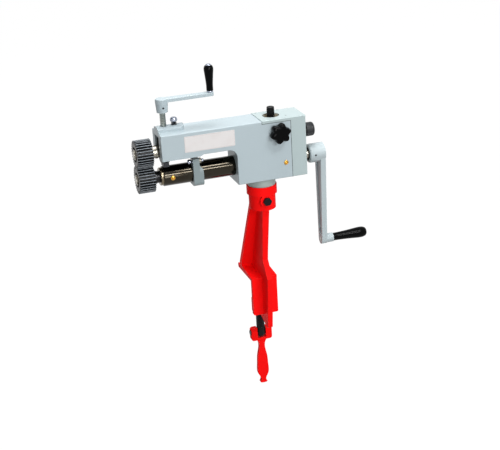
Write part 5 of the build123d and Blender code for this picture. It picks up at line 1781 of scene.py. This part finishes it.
@dataclass
class AdjustingScrew(SubAssembly):
    """Screw on top of the arm with its pad, crank arm and turning grip."""

    title: str = "adjusting screw"
    pitch: float = 3.0
    depth: float = 0.55
    tip_step: float = 1.05
    neck: float = 4.4
    shank: float = 27.0
    grip_foot: float = 6.5
    grip_bore: float = 4.3

    def build(self) -> None:
        """Builds and dresses the pieces."""
        self._screw()
        self.soften("screw_thrust_pad", STEEL_Z, 0.2)
        self.soften("top_crank_arm", GREY, 0.8)
        self.soften("top_crank_set_screw", BLUED, 0.3)
        self._spindle()
        self._grip()

    def _screw(self) -> None:
        """Adjusting screw, threaded up to its crank."""
        seat = Seat("adjusting_screw")
        radius, length = seat.size.x / 2, seat.size.z
        tip, neck = radius - self.tip_step, self.neck
        core, shank = radius - self.depth, self.shank
        profile = [
            (0, 0),
            (0, tip),
            (neck, tip),
            (neck, core),
            (length - shank, core),
            (length - shank + 0.8, radius),
            (length, radius),
            (length, 0),
        ]
        base = revolved("adjusting_screw_core", eased(profile, 0.25), Matrix.Identity(4), 48)
        height = length - shank - neck - 2
        self.repeat(
            self.shop.helix,
            "adjusting_screw_threaded",
            base,
            seat.upright(),
            STEEL_Z,
            "adjusting_screw",
            {
                "Turns": height / self.pitch,
                "Height": height * MM,
                "Radius": core * MM,
                "Wire Radius": self.depth * MM,
                "Steps": 28,
                "Foot": (neck + 1) * MM,
            },
        )

    def _spindle(self) -> None:
        """Spindle of the grip with a domed chrome end."""
        seat = Seat("top_grip_spindle")
        length = seat.size.z
        profile = [
            (0, 0),
            (0, 4),
            (7, 4),
            (7, 6),
            (9.7, 6),
            (9.7, 4),
            (length - 3, 4),
            (length - 3, 5.5),
            (length - 2.2, 5.4),
            (length - 1.0, 4.4),
            (length - 0.25, 2.4),
            (length, 0),
        ]
        self.turn("top_grip_spindle", profile, CHROME, seat.upright(), rounding=0.3, segments=48)

    def _grip(self) -> None:
        """Swelling moulded grip, open right through for its spindle."""
        seat = Seat("top_grip")
        length, radius = seat.size.z, seat.size.x / 2
        foot, bore = self.grip_foot, self.grip_bore
        shape = [
            (0, foot * 0.92),
            (0.6, foot),
            (length * 0.2, foot * 1.0),
            (length * 0.4, foot * 1.1),
            (length * 0.65, radius * 0.9),
            (length * 0.85, radius),
            (length * 0.95, radius * 0.9),
            (length, 6.5),
        ]
        profile = [(0, bore), *smooth_through(shape, 5), (length, bore)]
        mesh = revolved("top_grip_turned", profile, seat.upright(), 80, ring=True)
        self.present("top_grip_turned", mesh, PLASTIC, "top_grip", ("top_grip",))


@dataclass
class Knobs(SubAssembly):
    """Index knob with its spindle, star knob with its stud, and rear knob."""

    title: str = "knobs"
    lobes: int = 6
    lobe_phase: float = 15.0
    star_neck: float = 3.2
    star_steps: int = 144
    ridges: int = 24
    ridge_depth: float = 0.7
    knurls: int = 48
    knurl_depth: float = 0.35

    def build(self) -> None:
        """Builds and dresses the pieces."""
        self._index_knob()
        self.keep(STEEL, "index_spindle", "star_knob_stud")
        self._star_knob()
        self._rear_knob()
        self.soften("rear_thrust_screw", STEEL_X, 0.3)

    def _index_knob(self) -> None:
        """Ridged index knob."""
        seat = Seat("index_knob")
        radius, length = seat.size.x / 2, seat.size.z
        core = radius - self.ridge_depth
        profile = [
            (0, 0),
            (0, core),
            (length - 3.4, core),
            (length - 3.4, radius - 0.15),
            (length - 0.8, radius - 0.15),
            (length, radius - 1.0),
            (length, radius * 0.5),
            (length - 0.7, radius * 0.42),
            (length - 0.7, 0),
        ]
        base = revolved("index_knob_core", eased(profile, 0.25), Matrix.Identity(4), 64)
        self.repeat(
            self.shop.teeth,
            "index_knob_ridged",
            base,
            seat.upright(),
            KNOB_PLASTIC,
            "index_knob",
            {
                "Teeth": self.ridges,
                "Root Radius": (core - 0.3) * MM,
                "Tooth Height": 1.0 * MM,
                "Root Width": 1.3 * MM,
                "Crest Width": 0.5 * MM,
                "Rounding": 0.15 * MM,
                "Length": (length - 4.2) * MM,
                "Start": 0.0,
            },
        )

    def _star_knob(self) -> None:
        """Star knob with soft lobes and a domed face."""
        seat = Seat("star_knob")
        deep = seat.size.y
        outer = max(seat.size.x, seat.size.z) / 2
        neck = self.star_neck

        def outline(scale: float, wave: float) -> list[Point]:
            """Outline at one height, from its share of the radius and how deep its hollows are."""
            points = []
            for step in range(self.star_steps):
                turn = math.tau * step / self.star_steps
                lobe = 0.5 + 0.5 * math.cos(self.lobes * (turn - math.radians(self.lobe_phase)))
                radius = outer * scale * (1 - wave * (1 - lobe**0.8))
                points.append((radius * math.cos(turn), radius * math.sin(turn)))
            return points

        rows: list[tuple[float, float, float]] = [
            (0.0, 0.45, 0.0),
            (neck, 0.45, 0.0),
            (neck + 0.05, 0.88, 0.24),
            (neck + 0.7, 0.955, 0.24),
            (neck + 2.2, 0.992, 0.24),
            (neck + 5.0, 1.0, 0.24),
            (deep - 5.0, 0.99, 0.24),
            (deep - 2.6, 0.955, 0.235),
            (deep - 1.3, 0.89, 0.22),
            (deep - 0.6, 0.80, 0.20),
            (deep - 0.2, 0.66, 0.15),
            (deep, 0.45, 0.05),
            (deep, 0.2, 0.0),
        ]
        mesh = stacked(
            "star_knob_lobed",
            [outline(scale, wave) for _, scale, wave in rows],
            [height for height, _, _ in rows],
            seat.towards_operator(),
        )
        self.present("star_knob_lobed", mesh, PLASTIC, "star_knob", ("star_knob",))

    def _rear_knob(self) -> None:
        """Rear knob with a fine knurl."""
        seat = Seat("rear_knob")
        radius, length = seat.size.z / 2, seat.size.x
        core = radius - self.knurl_depth
        profile = [(0, 0), (0, core - 0.8), (0.8, core), (length - 1.5, core), (length, core - 1.3)]
        profile += [(length, radius * 0.55), (length - 1.2, radius * 0.5), (length - 1.2, 0)]
        base = revolved("rear_knob_core", eased(profile, 0.3), Matrix.Identity(4), 96)
        self.repeat(
            self.shop.teeth,
            "rear_knob_knurled",
            base,
            seat.along_shaft(),
            RUBBED_PLASTIC,
            "rear_knob",
            {
                "Teeth": self.knurls,
                "Root Radius": (core - 0.25) * MM,
                "Tooth Height": 0.6 * MM,
                "Root Width": 1.3 * MM,
                "Crest Width": 0.7 * MM,
                "Rounding": 0.12 * MM,
                "Length": (length - 3.2) * MM,
                "Start": 0.0,
            },
        )


@dataclass
class SheetStop(SubAssembly):
    """Sheet stop that slides on the tube, with its screws."""

    title: str = "sheet stop"
    screw_shank: float = 3.0

    def build(self) -> None:
        """Builds and dresses the pieces."""
        self.soften("sheet_stop", GREY_PAINTED_SHADE_STOP, 0.6)
        self.soften("stop_nut", STEEL_X, 0.4)
        self.soften("stop_set_screw", BLUED, 0.3)
        seat = Seat("stop_screw")
        radius, length = seat.size.z / 2, seat.size.x
        shank = self.screw_shank
        profile = [
            (0.9, 0),
            (0.9, radius * 0.45),
            (0, radius * 0.5),
            (0, radius - 1.0),
            (1.0, radius),
            (4, radius),
            (4, shank),
            (length - 0.6, shank),
            (length, shank - 0.6),
            (length, 0),
        ]
        self.turn("stop_screw", profile, CHROME, rounding=0.3, segments=48)


# ---- Studio -----------------------------------------------------------------------------------
@dataclass(frozen=True)
class Lamp:
    """One soft rectangular lamp; its power is in watts."""

    name: str
    at: Spot
    width: float
    height: float
    power: float
    target: Spot = (-0.05, -0.06, 0.15)

    def hang(self) -> None:
        """Adds the lamp, turned to its target."""
        light = bpy.data.lights.new(self.name, "AREA")
        light.shape = "RECTANGLE"
        light.size, light.size_y = self.width, self.height
        light.energy = self.power
        made = bpy.data.objects.new(self.name, light)
        made.location = self.at
        aim = Vector(self.target) - Vector(self.at)
        made.rotation_mode = "QUATERNION"
        made.rotation_quaternion = aim.to_track_quat("-Z", "Y")
        bpy.context.scene.collection.objects.link(made)


@dataclass
class Studio:
    """Camera, floor, world and lamps."""

    camera_at: Spot = (-0.67779, -2.12804, 0.96998)
    azimuth: float = -17.4124
    elevation: float = 21.1604
    roll: float = -3.2894
    focal_pixels: float = 1174.42
    image_width: int = 500
    floor_drop: float = 0.004
    floor_glow: float = 0.95
    sky_span: tuple[float, float] = (-0.3, 0.9)
    sky_foot: float = 0.13
    sky_top: float = 0.45
    floor_reach: float = 12.0
    lamps: tuple[Lamp, ...] = (
        Lamp("key", (0.80, -1.75, 2.50), 0.9, 0.35, 27.0),
        Lamp("front", (0.50, -2.72, 1.40), 1.3, 0.2, 35.0),
        Lamp("low_front", (-0.20, -2.90, 0.30), 0.9, 0.9, 20.0),
        Lamp("overhead", (-0.1, 0.1, 2.4), 1.3, 1.3, 52.0),
    )

    def camera(self) -> None:
        """Places the camera where the photograph was taken from."""
        turn, rise, tip = (math.radians(v) for v in (self.azimuth, self.elevation, self.roll))
        right = Vector((math.cos(turn), math.sin(turn), 0))
        ahead = Vector(
            (-math.sin(turn) * math.cos(rise), math.cos(turn) * math.cos(rise), -math.sin(rise))
        )
        up = right.cross(ahead)
        rolled_right = right * math.cos(tip) + up * math.sin(tip)
        rolled_up = up * math.cos(tip) - right * math.sin(tip)
        lens = bpy.data.cameras.new("camera")
        lens.sensor_fit = "HORIZONTAL"
        lens.sensor_width = 36.0
        lens.lens = self.focal_pixels * lens.sensor_width / self.image_width
        lens.clip_start, lens.clip_end = 0.05, 50.0
        camera = bpy.data.objects.new("camera", lens)
        camera.matrix_world = frame_of(Vector(self.camera_at), rolled_right, rolled_up)
        bpy.context.scene.collection.objects.link(camera)
        bpy.context.scene.camera = camera

    def world(self) -> None:
        """White surroundings in view and in reflections, and a softer sky as light."""
        shader = Shader("studio_sky", bpy.data.worlds.new("studio"))
        bpy.context.scene.world = shader.owner
        sky = shader.wire("ShaderNodeSeparateXYZ", None, {0: shader.heading()}, "Z")
        light = sky.step(*self.sky_span) * (self.sky_top - self.sky_foot) + self.sky_foot
        shown = shader.shown()
        strength = light * (1.0 - shown) + shown
        background = shader.node("ShaderNodeBackground", None, {"Strength": strength})
        background.inputs["Color"].default_value = (1.0, 1.0, 1.0, 1.0)
        shader.node("ShaderNodeOutputWorld", None, {"Surface": background.outputs[0]})

    def floor(self) -> None:
        """Pale floor that keeps the shadow and runs into the white background."""
        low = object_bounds()[0].z - self.floor_drop
        mesh = bpy.data.meshes.new("floor")
        reach = self.floor_reach
        corners = [(-reach, -reach, low), (reach, -reach, low), (reach, reach, low), (-reach, reach, low)]
        mesh.from_pydata(corners, [], [(0, 1, 2, 3)])
        shader = Shader("pale_floor")
        shown = shader.shown()
        speck = shader.noise(30.0, 3.0)
        pale = shader.blend(speck, (0.88, 0.88, 0.88), (0.90, 0.90, 0.90))
        matt = shader.node(
            "ShaderNodeBsdfDiffuse", None, {"Color": shader.blend(shown, (0.30, 0.30, 0.30), pale)}
        )
        glow = shader.node("ShaderNodeEmission", None, {"Color": (1, 1, 1, 1), "Strength": 1.03})
        mixed = shader.node(
            "ShaderNodeMixShader",
            None,
            {0: shown * self.floor_glow, 1: matt.outputs[0], 2: glow.outputs[0]},
        )
        shader.node("ShaderNodeOutputMaterial", None, {"Surface": mixed.outputs[0]})
        mesh.materials.append(shader.owner)
        object_of("floor", mesh)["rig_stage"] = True

    def build(self) -> None:
        """Sets up the whole studio."""
        self.camera()
        self.world()
        self.floor()
        for lamp in self.lamps:
            lamp.hang()
        bpy.context.scene.view_settings.view_transform = "Standard"


def main() -> None:
    """Builds the studio and every sub-assembly."""
    logging.basicConfig(level=logging.INFO, format="%(name)s %(message)s")
    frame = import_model()
    shop = Workshop(frame["record"], toothed_recipe(), helix_recipe(), corner_recipe())
    Studio().build()
    for kind in (Stand, Head, UpperShaft, LowerShaft, Carrier, AdjustingScrew, Knobs, SheetStop):
        assembly = kind(shop)
        assembly.build()
        log.info("%s: %s", assembly.title, ", ".join(assembly.pieces))
    nodes = frame["nodes"].items()
    bare = [name for name, thing in nodes if not thing.hide_render and not thing.data.materials]
    log.info("nodes without a finish: %s", bare)


if __name__ == "__main__":
    main()
